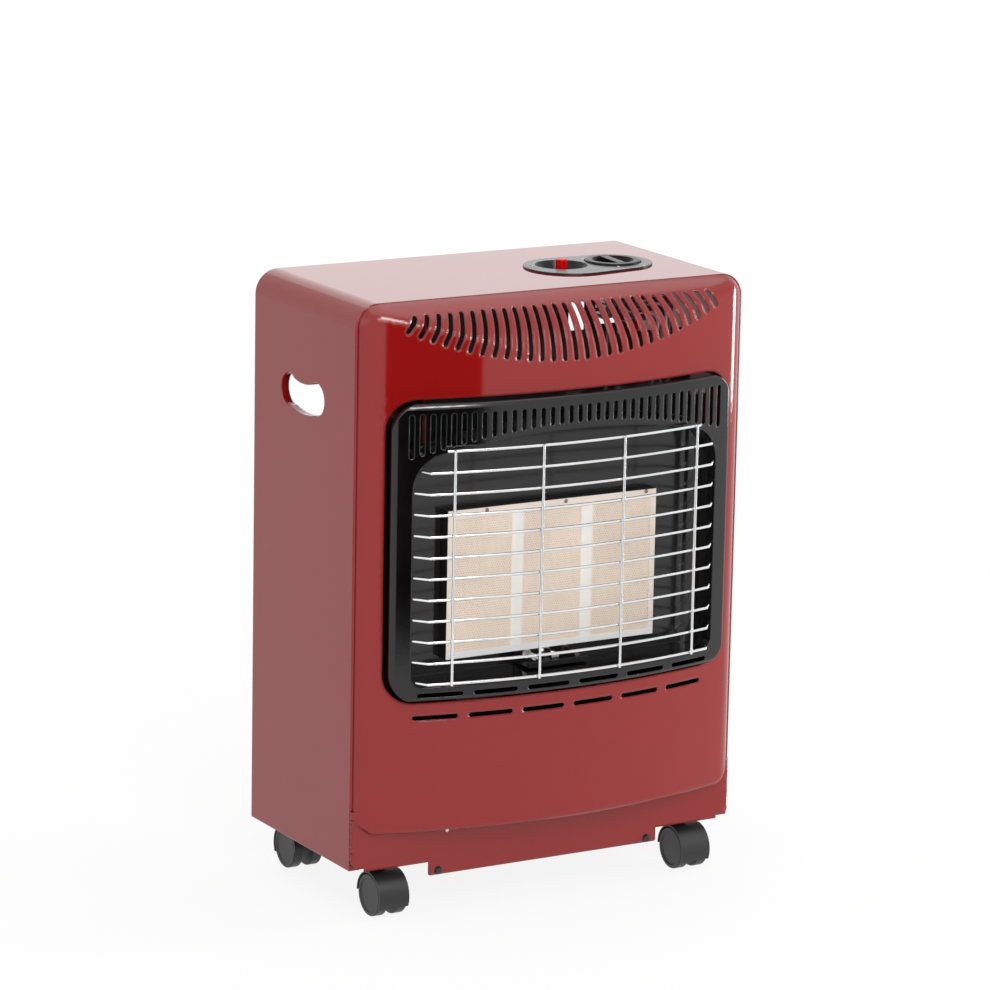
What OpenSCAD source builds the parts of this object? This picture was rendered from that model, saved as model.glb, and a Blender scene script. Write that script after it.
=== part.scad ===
// Cabinet gas heater on casters: one bent steel wrap, a bowed louvred front
// panel, a black fire surround with its wire guard, a three plaque radiant
// burner with its gas tap, pipes and pilot, and four twin wheel casters.
// Lengths are in millimetres. Front is -Y, up is +Z, the floor is z = 0 and
// the origin is the middle of the footprint. Inside each module y = 0 is the
// seam between the wrap and the front panel, and on_seam() moves it into place.

/* [Cabinet] */
// Width over the sides
cabinet_w = 420; // [400:1:440]
// Height of the sheet metal wrap, without the casters
cabinet_h = 540; // [530:1:560]
// Depth of the sides, from the front seam to the rear edge
side_d = 200; // [190:1:230]
// Outside radius of the two top corners
corner_r = 23; // [16:1:28]
// Thickness of the painted sheet
sheet_t = 1; // [0.8:0.1:1.2]
// Width of the folded edges at the front and rear of the wrap
fold_w = 11; // [8:1:14]
// Height of the wrap's lower edge above the floor
base_z = 50; // [50:1:54]

/* [Hand holes] */
// Radius of the curved line that each hand hole follows
hand_arc_r = 82; // [74:1:92]
// Height of a hand hole
hand_h = 29; // [26:1:30]
// Height of a hand hole's round ends
hand_end_d = 31.5; // [31:0.5:34]
// Length of a hand hole
hand_l = 86; // [78:1:92]
// Distance of the hand holes behind the front seam
hand_y = 102; // [96:1:108]
// Distance from the top of the wrap down to the upper edge of a hand hole
hand_drop = 92; // [80:1:105]

/* [Front panel] */
// How far the middle of the bowed panel stands out from the seam
bow_out = 45; // [42:1:48]
// How far the bowed panel stands out at its sides
bow_side = 9; // [8:1:11]
// Radius of the rolled vertical edges
roll_r = 28; // [24:1:30]
// Radius of the curved shoulder that carries the louvres
shoulder_r = 76; // [74:1:80]
// Height of the crease between shoulder and bowed face, below the top
shoulder_drop = 60; // [58:1:64]
// Height of the lip above the wrap's lower edge
lip_h = 30; // [26:1:34]
// Radius of the face's two lower corners
lip_r = 14; // [10:1:16]
// Radius of the roll along the face's lower edge
lip_roll = 6; // [4:0.5:7]
// How far the skirt below the lip stands out from the seam
skirt_out = 4; // [3:0.5:5]
// Width of the tab in the middle of the skirt
tab_w = 253; // [240:1:260]
// How far the tab hangs below the wrap's lower edge
tab_drop = 15; // [13:1:16]

/* [Louvres] */
// Number of louvre slots
louvre_n = 29; // [21:2:31]
// Width of a louvre slot
louvre_w = 4.4; // [3.5:0.1:5]
// Spacing of the middle slots at their top ends
louvre_top_pitch = 10.6; // [10.2:0.05:10.9]
// Spacing of the middle slots at their lower ends
louvre_low_pitch = 12.25; // [11.8:0.05:12.4]
// How far the outermost top ends stand out past even spacing
louvre_top_spread = 10.6; // [0:0.2:12]
// How far the outermost lower ends draw in from even spacing
louvre_low_draw = 4.5; // [0:0.1:6]
// Distance of the top ends below the top of the panel
louvre_top_drop = 10.4; // [9:0.1:13]
// Length of the middle slot, measured upright
louvre_long = 50; // [44:1:52]
// Length of the outermost slots, measured upright
louvre_short = 16; // [12:1:20]

/* [Fire surround] */
// Width of the black surround
surround_w = 367; // [360:1:370]
// Height of the black surround
surround_h = 283; // [278:1:288]
// Height of the surround's lower edge above the wrap's lower edge
surround_lift = 166; // [160:1:170]
// Corner radius of the surround
surround_r = 26; // [20:1:30]
// How far the surround stands proud of the bowed face
surround_proud = 9; // [7:0.5:10]
// Radius of the surround's pressed edges
surround_edge_r = 5; // [3:0.5:6]
// Gap between the surround and the edge of the panel's window
window_gap = 3; // [2:0.5:4]
// Width of the opening in the surround
fire_w = 330; // [324:1:334]
// Height of the opening in its middle
fire_h = 237; // [232:1:240]
// Height of the opening's lower edge above the surround's lower edge
fire_lift = 14; // [13:0.5:16]
// Radius of the opening's upper corners
fire_top_r = 35; // [28:1:40]
// Radius of the opening's lower corners
fire_low_r = 12; // [8:1:16]
// How much lower the arch of the opening is at its upper corners
fire_sag = 14; // [10:1:18]
// Number of upright slots in the surround
comb_n = 35; // [25:2:35]
// Spacing of the upright slots
comb_pitch = 9.82; // [9.2:0.02:9.9]
// Width of the upright slots
comb_w = 4.3; // [3.5:0.1:4.8]
// Length of the upright slot in the middle
comb_short = 17; // [14:1:18]
// Length of the outermost upright slots
comb_long = 41; // [36:1:42]
// Number of level slots below the fire, in each of the two rows
vent_n = 6; // [4:1:6]
// Length of a level slot
vent_l = 44; // [36:1:45]
// Width of a level slot
vent_w = 4.3; // [3.5:0.1:5]
// Spacing of the level slots
vent_pitch = 54.6; // [52:0.2:55]
// Depth of the reflector's back plate behind the seam
reflector_y = 4; // [3:0.5:6]
// Radius of the reflector's curved sides
reflector_r = 18; // [12:1:20]

/* [Guard] */
// Diameter of the guard's wires
wire_d = 2.8; // [2.6:0.1:3.4]
// Number of level wires
level_n = 12; // [8:1:12]
// Spacing of the level wires
level_pitch = 20.1; // [19:0.1:20.4]
// Spacing of the two inner upright wires
upright_inner = 88; // [70:1:100]
// Spacing of the two outer upright wires
upright_outer = 263; // [250:1:275]
// Distance of the level wires in front of the bowed face
guard_out = 16.8; // [15:0.2:18]
// Width of the guard's bowed part, between its two bends
guard_w = 305; // [300:1:309]

/* [Burner] */
// Width of the burner's front frame
burner_w = 228; // [222:1:236]
// Height of the burner's front frame
burner_h = 143; // [138:1:148]
// Height of the frame above the surround's lower edge
burner_lift = 30; // [28:1:34]
// Width of one ceramic plaque
plaque_w = 65; // [60:1:66]
// Height of one ceramic plaque
plaque_h = 133; // [126:1:134]
// Thickness of a ceramic plaque
plaque_t = 12; // [10:0.5:13]
// Width of the fibre strip between two plaques
strip_w = 11; // [9:0.5:12]
// Visible border of the front frame
frame_border = 6; // [5:0.5:8]
// Depth of the burner box behind the plaques
box_d = 25; // [20:1:28]
// Outside diameter of the mixing tubes
mixer_d = 16; // [14:1:18]
// Distance of the heat shield behind the seam
shield_y = 66; // [64:1:72]
// Outside diameter of the gas pipes
pipe_d = 6; // [5:0.5:6]

/* [Controls] */
// Distance of the tap from the middle of the cabinet
tap_x = 123.5; // [122:0.5:127]
// Distance of the tap behind the front seam
tap_y = 96; // [94:1:99]
// Distance of the igniter from the middle of the cabinet
igniter_x = 67; // [64:0.5:69]
// Distance of the igniter behind the front seam
igniter_y = 98; // [94:1:100]
// Diameter of the control knob
knob_d = 54; // [50:1:55]
// Diameter of the dish in the knob's face
dish_d = 41; // [36:1:43]
// Diameter of the igniter button
button_d = 11; // [10:0.5:13]
// Travel of the knob when it is pushed in
knob_push = 4; // [3:0.5:4]
// Travel of the igniter button
button_push = 5; // [4:0.5:5]

/* [Casters] */
// Diameter of a caster wheel
wheel_d = 41; // [38:1:42]
// Width over the two wheels of a caster
caster_w = 32; // [30:1:36]
// Distance from the swivel axis to the wheels' axle
caster_trail = 12; // [11:0.5:14]
// Distance of the swivel axes from the middle of the cabinet
caster_x = 168; // [164:1:169]
// Distance of the front swivel axes behind the front seam
caster_front_y = 21; // [21:1:24]
// Distance of the rear swivel axes in front of the rear edge
caster_rear_y = 32; // [24:1:36]

/* [Hidden] */
$fn = 96;

// Small clearances
running = 0.05;   // radial play of a shaft in its bore
part_gap = 0.4;   // between pieces that move past each other
pass_gap = 0.5;   // between a piece and the hole it passes through
over = 5;         // how far a cutting shape runs past what it cuts
weld_gap = 0.03;  // between crossing wires, which stay separate solids
skim = 0.01;      // how far a cut runs past a face that it ends on
sunk = 0.5;       // how far a shape seen from the front runs past a rounded edge

// Cabinet
half_w = cabinet_w / 2;
top_z = base_z + cabinet_h;
inner_w = half_w - sheet_t;
hand_z = top_z - hand_drop - hand_h / 2;
rim_depth = 7;

// The bowed face is part of an upright cylinder through the middle and side depths
bow_sag = bow_out - bow_side;
bow_r = (half_w * half_w + bow_sag * bow_sag) / (2 * bow_sag);
bow_cy = bow_r - bow_out;
function bow_y(x, r = bow_r) = bow_cy - sqrt(r * r - x * x);

// Casters
wheel_r = wheel_d / 2;
hood_r = wheel_r + 2.2;
plate_w = 38;
caster_plate_t = 2;
stem_r = 3;
axle_r = 2.5;
web_half = 4.6;
caster_rear_abs = side_d - caster_rear_y;

// The whole object is centred between the guard's front and what reaches furthest back
wire_r = wire_d / 2;
guard_r = bow_r + guard_out;
upright_r = guard_r + wire_d + weld_gap;
front_y = bow_y(upright_inner / 2, upright_r) - wire_r;
rear_end_y = max(side_d, caster_rear_abs + caster_trail + hood_r);
seam_y = -(rear_end_y + front_y) / 2;

// Surround and its opening, heights above the floor
surround_z0 = base_z + surround_lift;
surround_z1 = surround_z0 + surround_h;
face_r = bow_r + surround_proud;
fire_z0 = surround_z0 + fire_lift;
fire_z1 = fire_z0 + fire_h;
// the opening keeps clear of the guard's bowed part, and the surround keeps a rim beside the opening
guard_room = 8;
rim_least = 14;
fire_half = max(fire_w / 2, guard_w / 2 + guard_room);
surround_half = max(surround_w / 2, fire_half + rim_least);
arch_half = fire_half - fire_top_r;
arch_r = (arch_half * arch_half + fire_sag * fire_sag) / (2 * fire_sag);
arch_cz = fire_z1 - arch_r;
arch_corner_z = arch_cz + sqrt(pow(arch_r - fire_top_r, 2) - arch_half * arch_half);
seat_y = -18;     // plane where surround and reflector meet
plate_front_y = reflector_y - skim;
low_corner_z = fire_z0 + fire_low_r;
// Half width of the opening at a height
function fire_half_at(z) = z > arch_corner_z ? arch_half + sqrt(pow(fire_top_r, 2) - pow(z - arch_corner_z, 2))
    : z < low_corner_z ? fire_half - fire_low_r + sqrt(pow(fire_low_r, 2) - pow(z - low_corner_z, 2))
    : fire_half;

// Burner
burner_z0 = surround_z0 + burner_lift;
metal_t = 0.8;    // unpainted burner sheet
plaque_room = 0.5;
frame_h = max(burner_h, plaque_h + 2 * (metal_t + plaque_room));
frame_half = max(burner_w / 2, 1.5 * plaque_w + strip_w + metal_t + plaque_room);
burner_z1 = burner_z0 + frame_h;
burner_mid_z = burner_z0 + frame_h / 2;
plaque_back_y = reflector_y + sheet_t - metal_t;
plaque_front_y = plaque_back_y - plaque_t;
box_back_y = reflector_y + sheet_t + box_d;
plaque_pitch = plaque_w + strip_w;
mixer_y = box_back_y + 12;
mixer_r = mixer_d / 2;
mixer_z0 = burner_z0 - 22;
mixer_z1 = burner_mid_z + 20;
rail_z = burner_z0 - 40;
rail_t = 1.5;
injector_z0 = rail_z - 12;

// Controls
wrap_top_z = top_z - sheet_t;
bezel_t = 1.6;
cup_t = 1.2;
knob_r = knob_d / 2;
knob_cup_r = knob_r + 0.8;
knob_cup_z = top_z - 9;
pointer_turn = -4;
igniter_cup_r = 25.5;
igniter_cup_z = top_z - 11;
igniter_h = 44;
igniter_z0 = igniter_cup_z - igniter_h;
igniter_neck_r = 8;
button_r = button_d / 2;
button_out = 5.5;
button_z0 = igniter_z0 + 14 + button_push + part_gap;
plate_t = 1.5;
plate_z = knob_cup_z - 8;
tap_top_z = plate_z;
tap_h = 34;
tap_z0 = tap_top_z - tap_h;
tap_half = 17;
tap_neck_r = 6.5;
spindle_r = 3.5;
spindle_in = 14;
socket_h = 1.8;
pipe_r = pipe_d / 2;
pipe_y = shield_y - 8;

paint = [0.57, 0.09, 0.085];
enamel = [0.12, 0.12, 0.125];
steel = [0.72, 0.73, 0.74];
bright = [0.86, 0.87, 0.88];
ceramic = [0.87, 0.82, 0.76];
fibre = [0.93, 0.92, 0.9];
brass = [0.78, 0.62, 0.32];
alu = [0.8, 0.81, 0.82];
plastic = [0.2, 0.2, 0.21];
black = [0.05, 0.05, 0.055];

// ---- helpers ----

// Moves a piece from the seam plane to the object's own frame
module on_seam() translate([0, seam_y, 0]) children();

// Extrudes a drawing in x and z along y, from y0 to y1
module along_y(y0, y1)
    translate([0, y1, 0]) rotate([90, 0, 0]) linear_extrude(y1 - y0) children();

// Extrudes a drawing in y and z along x, from x0 to x1
module along_x(x0, x1)
    translate([x0, 0, 0]) rotate([90, 0, 90]) linear_extrude(x1 - x0) children();

module box(lo, hi) translate(lo) cube(hi - lo);

// Cylinder along y
module bar_y(x, z, r, y0, y1) translate([x, y0, z]) rotate([-90, 0, 0]) cylinder(r = r, h = y1 - y0);

// Cylinder along x
module bar_x(y, z, r, x0, x1) translate([x0, y, z]) rotate([0, 90, 0]) cylinder(r = r, h = x1 - x0);

// What a round corner takes off a shape whose corner is at x, z; up is 1 at the top and -1 at the bottom
module corner_waste(x, z, r, up)
    fillet_waste([x - r, z - up * r], r, [x - r, z + up * over], [x + over, z + up * over], [x + over, z - up * r]);

// Rectangle from -x to x with its own radius at the lower and upper corners
module round_rect(x, z0, z1, r_low, r_top) difference() {
    translate([-x, z0]) square([2 * x, z1 - z0]);
    for (s = [0, 1]) mirror([s, 0]) {
        corner_waste(x, z0, r_low, -1);
        corner_waste(x, z1, r_top, 1);
    }
}

// Slot with round ends between two points
module slot(a, b, w) {
    d = b - a;
    translate(a) rotate(atan2(d[1], d[0])) {
        circle(w / 2);
        translate([norm(d), 0]) circle(w / 2);
        translate([0, -w / 2]) square([norm(d), w]);
    }
}

// Corner that lies outside a fillet circle tangent to two edges
module fillet_waste(c, r, t1, far, t2) difference() {
    polygon([c, t1, far, t2]);
    translate(c) circle(r);
}

// Tube or rod through a list of points, with round bends
function unit(v) = v / norm(v);
module bent_rod(points, r, bend) {
    n = len(points);
    trims = [for (i = [0:n - 1]) i == 0 || i == n - 1 ? 0
        : bend * tan(acos(unit(points[i] - points[i - 1]) * unit(points[i + 1] - points[i])) / 2)];
    for (i = [0:n - 2]) {
        d = unit(points[i + 1] - points[i]);
        a = points[i] + d * trims[i];
        b = points[i + 1] - d * trims[i + 1];
        rod(a, b, r);
    }
    for (i = [1:n - 2]) bend_piece(points[i - 1], points[i], points[i + 1], r, bend, trims[i]);
}

// Matrix whose columns are three unit vectors and an origin
function frame_matrix(ex, ey, ez, o) = [
    [ex[0], ey[0], ez[0], o[0]], [ex[1], ey[1], ez[1], o[1]], [ex[2], ey[2], ez[2], o[2]], [0, 0, 0, 1]];
function any_normal(d) = unit(cross(d, abs(d[2]) > 0.7 ? [1, 0, 0] : [0, 0, 1]));

module rod(a, b, r) {
    d = unit(b - a);
    ex = any_normal(d);
    multmatrix(frame_matrix(ex, cross(d, ex), d, a)) cylinder(r = r, h = norm(b - a));
}

module bend_piece(p, q, s, r, bend, trim) {
    d1 = unit(q - p);
    d2 = unit(s - q);
    turn = acos(d1 * d2);
    axis = unit(cross(d1, d2));
    inward = unit(cross(axis, d1));
    centre = q - d1 * trim + inward * bend;
    multmatrix(frame_matrix(-inward, d1, axis, centre))
        rotate_extrude(angle = turn) translate([bend, 0]) circle(r);
}

// Part of a ring about the bow's axis, from its outer radius inwards, with rounded lower and upper edges
module bowed_slab(r, depth, z0, z1, low_r, high_r) {
    swing = 24;
    translate([0, bow_cy, 0]) rotate([0, 0, -90 - swing]) rotate_extrude(angle = 2 * swing, $fn = 360)
        difference() {
            translate([r - depth, z0]) square([depth, z1 - z0]);
            if (low_r > 0) corner_waste(r, z0, low_r, -1);
            if (high_r > 0) corner_waste(r, z1, high_r, 1);
        }
}

// ---- cabinet ----

// Kidney shaped outline of a hand hole, in y and z
module hand_outline(grow = 0) {
    r = hand_h / 2 + grow;
    end_r = hand_end_d / 2 + grow;
    cz = hand_z + hand_arc_r;
    half_turn = asin((hand_l - hand_end_d) / 2 / hand_arc_r);
    reach = 2 * hand_arc_r;
    translate([hand_y, cz]) {
        intersection() {
            difference() {
                circle(hand_arc_r + r);
                circle(hand_arc_r - r);
            }
            polygon([[0, 0], reach * [-sin(half_turn), -cos(half_turn)], reach * [sin(half_turn), -cos(half_turn)]]);
        }
        for (s = [-1, 1]) translate(hand_arc_r * [s * sin(half_turn), -cos(half_turn)]) circle(end_r);
    }
}

// Outline of the wrap seen from the front, inset by t
module wrap_outline(t, z0) {
    intersection() {
        round_rect(half_w - t, z0 - corner_r * 2, top_z - t, 1, corner_r - t);
        translate([-half_w, z0]) square([cabinet_w, top_z]);
    }
}

// Openings in the top for the two cups of the control bezel
module bezel_passage() translate([0, 0, top_z - over]) {
    translate([igniter_x, igniter_y]) cylinder(r = igniter_cup_r + cup_t + pass_gap, h = 2 * over);
    translate([tap_x, tap_y]) cylinder(r = knob_cup_r + cup_t + pass_gap, h = 2 * over);
}

module cabinet_wrap() color(paint) on_seam() {
    difference() {
        along_y(0, side_d) wrap_outline(0, base_z);
        along_y(sheet_t, side_d - sheet_t) wrap_outline(sheet_t, base_z - over);
        along_y(-over, side_d + over) wrap_outline(fold_w, base_z - over);
        along_x(-half_w - over, half_w + over) hand_outline();
        bezel_passage();
    }
    for (s = [0, 1]) mirror([s, 0, 0]) along_x(inner_w - rim_depth, inner_w) difference() {
        hand_outline(sheet_t);
        hand_outline();
    }
}

// ---- front panel ----

// Centre, in y and in height above the top, of the arc from the seam down to the crease
shoulder_chord = norm([bow_out, shoulder_drop]);
shoulder_c = [-bow_out, -shoulder_drop] / 2 + [shoulder_drop, -bow_out]
    * sqrt(pow(shoulder_r / shoulder_chord, 2) - 0.25);

// Everything inside the bowed panel's surface, inset by t
module panel_form(t) {
    z0 = base_z + lip_h + t;
    cx = half_w - roll_r;
    cy = bow_cy - sqrt(pow(bow_r - roll_r, 2) - cx * cx);
    tangent = [0, bow_cy] + bow_r / (bow_r - roll_r) * [cx, cy - bow_cy];
    back = t > 0 ? over : 0;
    intersection() {
        bowed_slab(bow_r - t, bow_out + 2 * over, z0, top_z + over, lip_roll - t, 0);
        along_y(-2 * bow_out, back) round_rect(half_w - t, z0 - sunk, top_z - t, lip_r - t, corner_r - t);
        // shoulder, seen from the side
        along_x(-half_w - over, half_w + over) {
            translate([shoulder_c[0], top_z + shoulder_c[1]]) circle(shoulder_r - t);
            translate([-2 * bow_out, 0]) square([2 * bow_out + back, top_z - shoulder_drop]);
            translate([-t, 0]) square([2 * over, top_z - t]);
        }
        // rolled side edges, seen from above
        translate([0, 0, base_z - over]) linear_extrude(cabinet_h + 2 * over) difference() {
            translate([-half_w + t, -2 * bow_out]) square([cabinet_w - 2 * t, 2 * bow_out + 2 * over]);
            for (s = [0, 1]) mirror([s, 0]) fillet_waste([cx, cy], roll_r - t, tangent + unit(tangent - [cx, cy]) * over,
                [half_w + 2 * over, cy - roll_r - over], [half_w + over, cy]);
        }
    }
}

// Outline of the skirt, with its stepped ends and the tab in the middle
skirt_step_w = 14;
skirt_step_h = 3.5;
skirt_z = base_z - 1.5;
module skirt_outline() {
    round_rect(half_w, skirt_z + skirt_step_h, base_z + lip_h + lip_r + 2, 8, 1);
    translate([-half_w + skirt_step_w, skirt_z]) square([cabinet_w - 2 * skirt_step_w, lip_h]);
    round_rect(tab_w / 2, base_z - tab_drop, base_z + lip_h, 2, 1);
}

// Plan of the skirt with its rounded vertical edges, inset by t
skirt_edge = 3;
module skirt_plan(t) {
    half = half_w - t;
    back = t > 0 ? over : 0;
    difference() {
        translate([-half, -skirt_out + t]) square([2 * half, skirt_out - t + back]);
        for (s = [0, 1]) mirror([s, 0]) corner_waste(half, -skirt_out + t, skirt_edge - t, -1);
    }
}

module louvre_slots() {
    last = (louvre_n - 1) / 2;
    z_top = top_z - louvre_top_drop - louvre_w / 2;
    for (i = [-last:last]) {
        rise = louvre_long + (louvre_short - louvre_long) * pow(i / last, 2) - louvre_w;
        bias = pow(i / last, 3);
        slot([i * louvre_top_pitch + louvre_top_spread * bias, z_top],
            [i * louvre_low_pitch - louvre_low_draw * bias, z_top - rise], louvre_w);
    }
}

// Row of level slots, centred on the middle
module vent_slots(z) for (i = [0:vent_n - 1]) {
    x = (i - (vent_n - 1) / 2) * vent_pitch;
    slot([x - (vent_l - vent_w) / 2, z], [x + (vent_l - vent_w) / 2, z], vent_w);
}

panel_vent_z = surround_z0 - window_gap - 14.5;
tab_screw_z = base_z - 11;
tab_screw_x = tab_w / 2 - 10.5;

module front_panel() color(paint) on_seam() difference() {
    union() {
        difference() {
            panel_form(0);
            panel_form(sheet_t);
        }
        intersection() {
            along_y(-skirt_out, 0) skirt_outline();
            linear_extrude(top_z) difference() {
                skirt_plan(0);
                skirt_plan(sheet_t);
            }
        }
    }
    along_y(-2 * bow_out, -skirt_out - sheet_t)
        round_rect(surround_half + window_gap, surround_z0 - window_gap, surround_z1 + window_gap,
            surround_r + window_gap, surround_r + window_gap);
    along_y(-2 * bow_out, -skirt_out) louvre_slots();
    along_y(-2 * bow_out, -bow_side) vent_slots(panel_vent_z);
    for (s = [-1, 1]) bar_y(s * tab_screw_x, tab_screw_z, 2.2, -2 * skirt_out, over);
}

// ---- base, rear cover and heat shield ----

tray_side_h = 18;
tray_flange_half = tab_w / 2 - 2;
tray_front_y = -skirt_out + sheet_t;

module base_tray() color(paint) on_seam() {
    rear = side_d - sheet_t;
    difference() {
        union() {
            box([-inner_w, sheet_t, base_z], [inner_w, rear, base_z + sheet_t]);
            // nose that reaches the skirt's tab
            box([-tray_flange_half, tray_front_y, base_z], [tray_flange_half, sheet_t, base_z + sheet_t]);
            box([-tray_flange_half, tray_front_y, base_z - tab_drop + 1], [tray_flange_half, tray_front_y + sheet_t, base_z]);
            box([-tray_flange_half, rear - sheet_t, base_z - tab_drop + 1], [tray_flange_half, rear, base_z]);
            for (s = [0, 1]) mirror([s, 0, 0]) {
                box([inner_w - sheet_t, sheet_t, base_z], [inner_w, shield_y, base_z + tray_side_h]);
                box([inner_w - sheet_t, shield_y + sheet_t, base_z], [inner_w, rear, base_z + tray_side_h]);
            }
        }
        for (s = [-1, 1]) bar_y(s * tab_screw_x, tab_screw_z, 1.6, tray_front_y - over, tray_front_y + over);
    }
}

rear_cover_h = 330;
module rear_cover() color(paint) on_seam() {
    y1 = side_d - sheet_t;
    half = inner_w - 2 * sheet_t;
    z0 = base_z + sheet_t;
    rows = 5;
    row_pitch = 14;
    slot_half = 60;
    difference() {
        union() {
            along_y(y1 - sheet_t, y1) round_rect(half, z0, z0 + rear_cover_h, 1, 6);
            box([-half + fold_w, y1 - 2 * fold_w, z0 + rear_cover_h - sheet_t], [half - fold_w, y1 - sheet_t, z0 + rear_cover_h]);
            box([-half + fold_w, y1 - 2 * fold_w, z0], [half - fold_w, y1 - sheet_t, z0 + sheet_t]);
        }
        along_y(y1 - fold_w, y1 + over) for (side = [-1, 1], level = [0, 1], i = [0:rows - 1]) {
            z = z0 + 55 + level * 150 + i * row_pitch;
            slot([side * 95 - slot_half, z], [side * 95 + slot_half, z], 5);
        }
    }
}

shield_top_z = top_z - 63;
shield_high_z = top_z - 25;
shield_high_x = 48;
shield_full_z = hand_z - hand_h / 2 - 2 * over;
module heat_shield() color(steel) on_seam() {
    y0 = shield_y;
    y1 = shield_y + sheet_t;
    flange = 12;
    z0 = base_z + sheet_t;
    narrow = inner_w - rim_depth - over;
    box([-inner_w, y0, z0], [inner_w, y1, shield_full_z]);
    box([-narrow, y0, shield_full_z], [narrow, y1, shield_top_z]);
    box([-narrow, y0, shield_top_z], [shield_high_x, y1, shield_high_z]);
    box([-inner_w + sheet_t, y1, z0], [inner_w - sheet_t, y1 + flange, z0 + sheet_t]);
    for (s = [0, 1]) mirror([s, 0, 0])
        box([inner_w - sheet_t, y1, z0 + tray_side_h], [inner_w, y1 + flange, shield_full_z]);
}

bracket_in = frame_half + 12;
bracket_w = 14;
module support_bracket(s) color(steel) on_seam() mirror([s < 0 ? 1 : 0, 0, 0]) {
    y0 = reflector_y + sheet_t;
    z0 = burner_z0 + 10;
    z1 = burner_z1 - 10;
    box([bracket_in, y0, z0], [bracket_in + bracket_w, y0 + rail_t, z1]);
    box([bracket_in, y0, z0], [bracket_in + rail_t, shield_y, z1]);
    box([bracket_in - bracket_w, shield_y - rail_t, z0], [bracket_in, shield_y, z1]);
}

// ---- fire surround, reflector and guard ----

// Outline of the arched opening, inset by t
module fire_outline(t) {
    half = fire_half - t;
    c = [arch_half, arch_corner_z];
    tangent = [0, arch_cz] + arch_r / (arch_r - fire_top_r) * (c - [0, arch_cz]);
    difference() {
        intersection() {
            translate([-half, fire_z0 + t]) square([2 * half, 2 * fire_h]);
            translate([0, arch_cz]) circle(arch_r - t, $fn = 360);
        }
        for (s = [0, 1]) mirror([s, 0]) {
            fillet_waste(c, fire_top_r - t, [fire_half + over, arch_corner_z], [fire_half + over, fire_z1 + over],
                tangent + unit(tangent - c) * over);
            corner_waste(half, fire_z0 + t, fire_low_r - t, -1);
        }
    }
}

// Everything inside the surround's pressed surface, inset by t
module surround_form(t) {
    half = surround_half;
    cx = half - surround_edge_r;
    cy = bow_cy - sqrt(pow(face_r - surround_edge_r, 2) - cx * cx);
    tangent = [0, bow_cy] + face_r / (face_r - surround_edge_r) * [cx, cy - bow_cy];
    intersection() {
        bowed_slab(face_r - t, bow_out + surround_proud, surround_z0 + t, surround_z1 - t, surround_edge_r - t, surround_edge_r - t);
        along_y(-2 * bow_out, over)
            round_rect(half - t, surround_z0 + t - sunk, surround_z1 - t + sunk, surround_r - t, surround_r - t);
        translate([0, 0, surround_z0 - over]) linear_extrude(surround_h + 2 * over) difference() {
            translate([-half + t, -2 * bow_out]) square([2 * (half - t), 3 * bow_out]);
            for (s = [0, 1]) mirror([s, 0]) fillet_waste([cx, cy], surround_edge_r - t,
                tangent + unit(tangent - [cx, cy]) * over, [half + 2 * over, cy - 2 * over], [half + over, cy]);
        }
    }
}

// Upright slots, level at the top and arched at their lower ends
module comb_slots() {
    last = (comb_n - 1) / 2;
    z_top = surround_z1 - 9.5 - comb_w / 2;
    for (i = [-last:last]) {
        rise = comb_short + (comb_long - comb_short) * pow(i / last, 2) - comb_w;
        slot([i * comb_pitch, z_top], [i * comb_pitch, z_top - rise], comb_w);
    }
}

surround_back_y = -bow_side - sheet_t;
module fire_surround() color(enamel) on_seam() {
    difference() {
        intersection() {
            surround_form(0);
            box([-half_w, -2 * bow_out, 0], [half_w, surround_back_y, top_z]);
        }
        surround_form(sheet_t);
        along_y(-2 * bow_out, over) fire_outline(0);
        along_y(-2 * bow_out, -bow_side) comb_slots();
        along_y(-2 * bow_out, -bow_side) vent_slots(surround_z0 + 6.5);
    }
    // return around the opening
    difference() {
        intersection() {
            bowed_slab(face_r - sheet_t / 2, bow_out + surround_proud, fire_z0 - over, fire_z1 + over, 0, 0);
            along_y(-2 * bow_out, seat_y) fire_outline(-sheet_t);
        }
        along_y(-2 * bow_out, over) fire_outline(0);
    }
}

// Dish behind the opening, inset by t, with curved sides that meet its back plate
module reflector_form(t) {
    back = reflector_y + sheet_t - t;
    r = reflector_r + sheet_t - t;
    intersection() {
        along_y(seat_y, back) fire_outline(t - sheet_t);
        translate([0, 0, fire_z0 - over]) linear_extrude(fire_h + 2 * over) dish_plan(fire_half - t + sheet_t, back, r);
    }
}
module dish_plan(half, back, r) difference() {
    translate([-half, seat_y - over]) square([2 * half, back - seat_y + over]);
    for (s = [0, 1]) mirror([s, 0])
        fillet_waste([half - r, back - r], r, [half - r, back + over], [half + over, back + over], [half + over, back - r]);
}

pilot_z = burner_z0 - 7;
pilot_x = [0, 22, -20];
pilot_r = [4, 2.5, 3];
module pilot_holes(y0, y1) for (i = [0:2]) bar_y(pilot_x[i], pilot_z, pilot_r[i] + 0.1, y0, y1);

module reflector() color(black) on_seam() {
    rim_w = 8;
    difference() {
        union() {
            reflector_form(0);
            along_y(seat_y, seat_y + sheet_t) fire_outline(-rim_w);
        }
        translate([0, -skim, 0]) reflector_form(sheet_t);
        along_y(seat_y - over, seat_y + over) fire_outline(0);
        box([-frame_half - pass_gap, -over, burner_z0 - pass_gap],
            [frame_half + pass_gap, 2 * over, burner_z1 + pass_gap]);
        pilot_holes(-over, 2 * over);
    }
}

level_z0 = fire_z0 + 4.8;
foot_y = -28;

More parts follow.
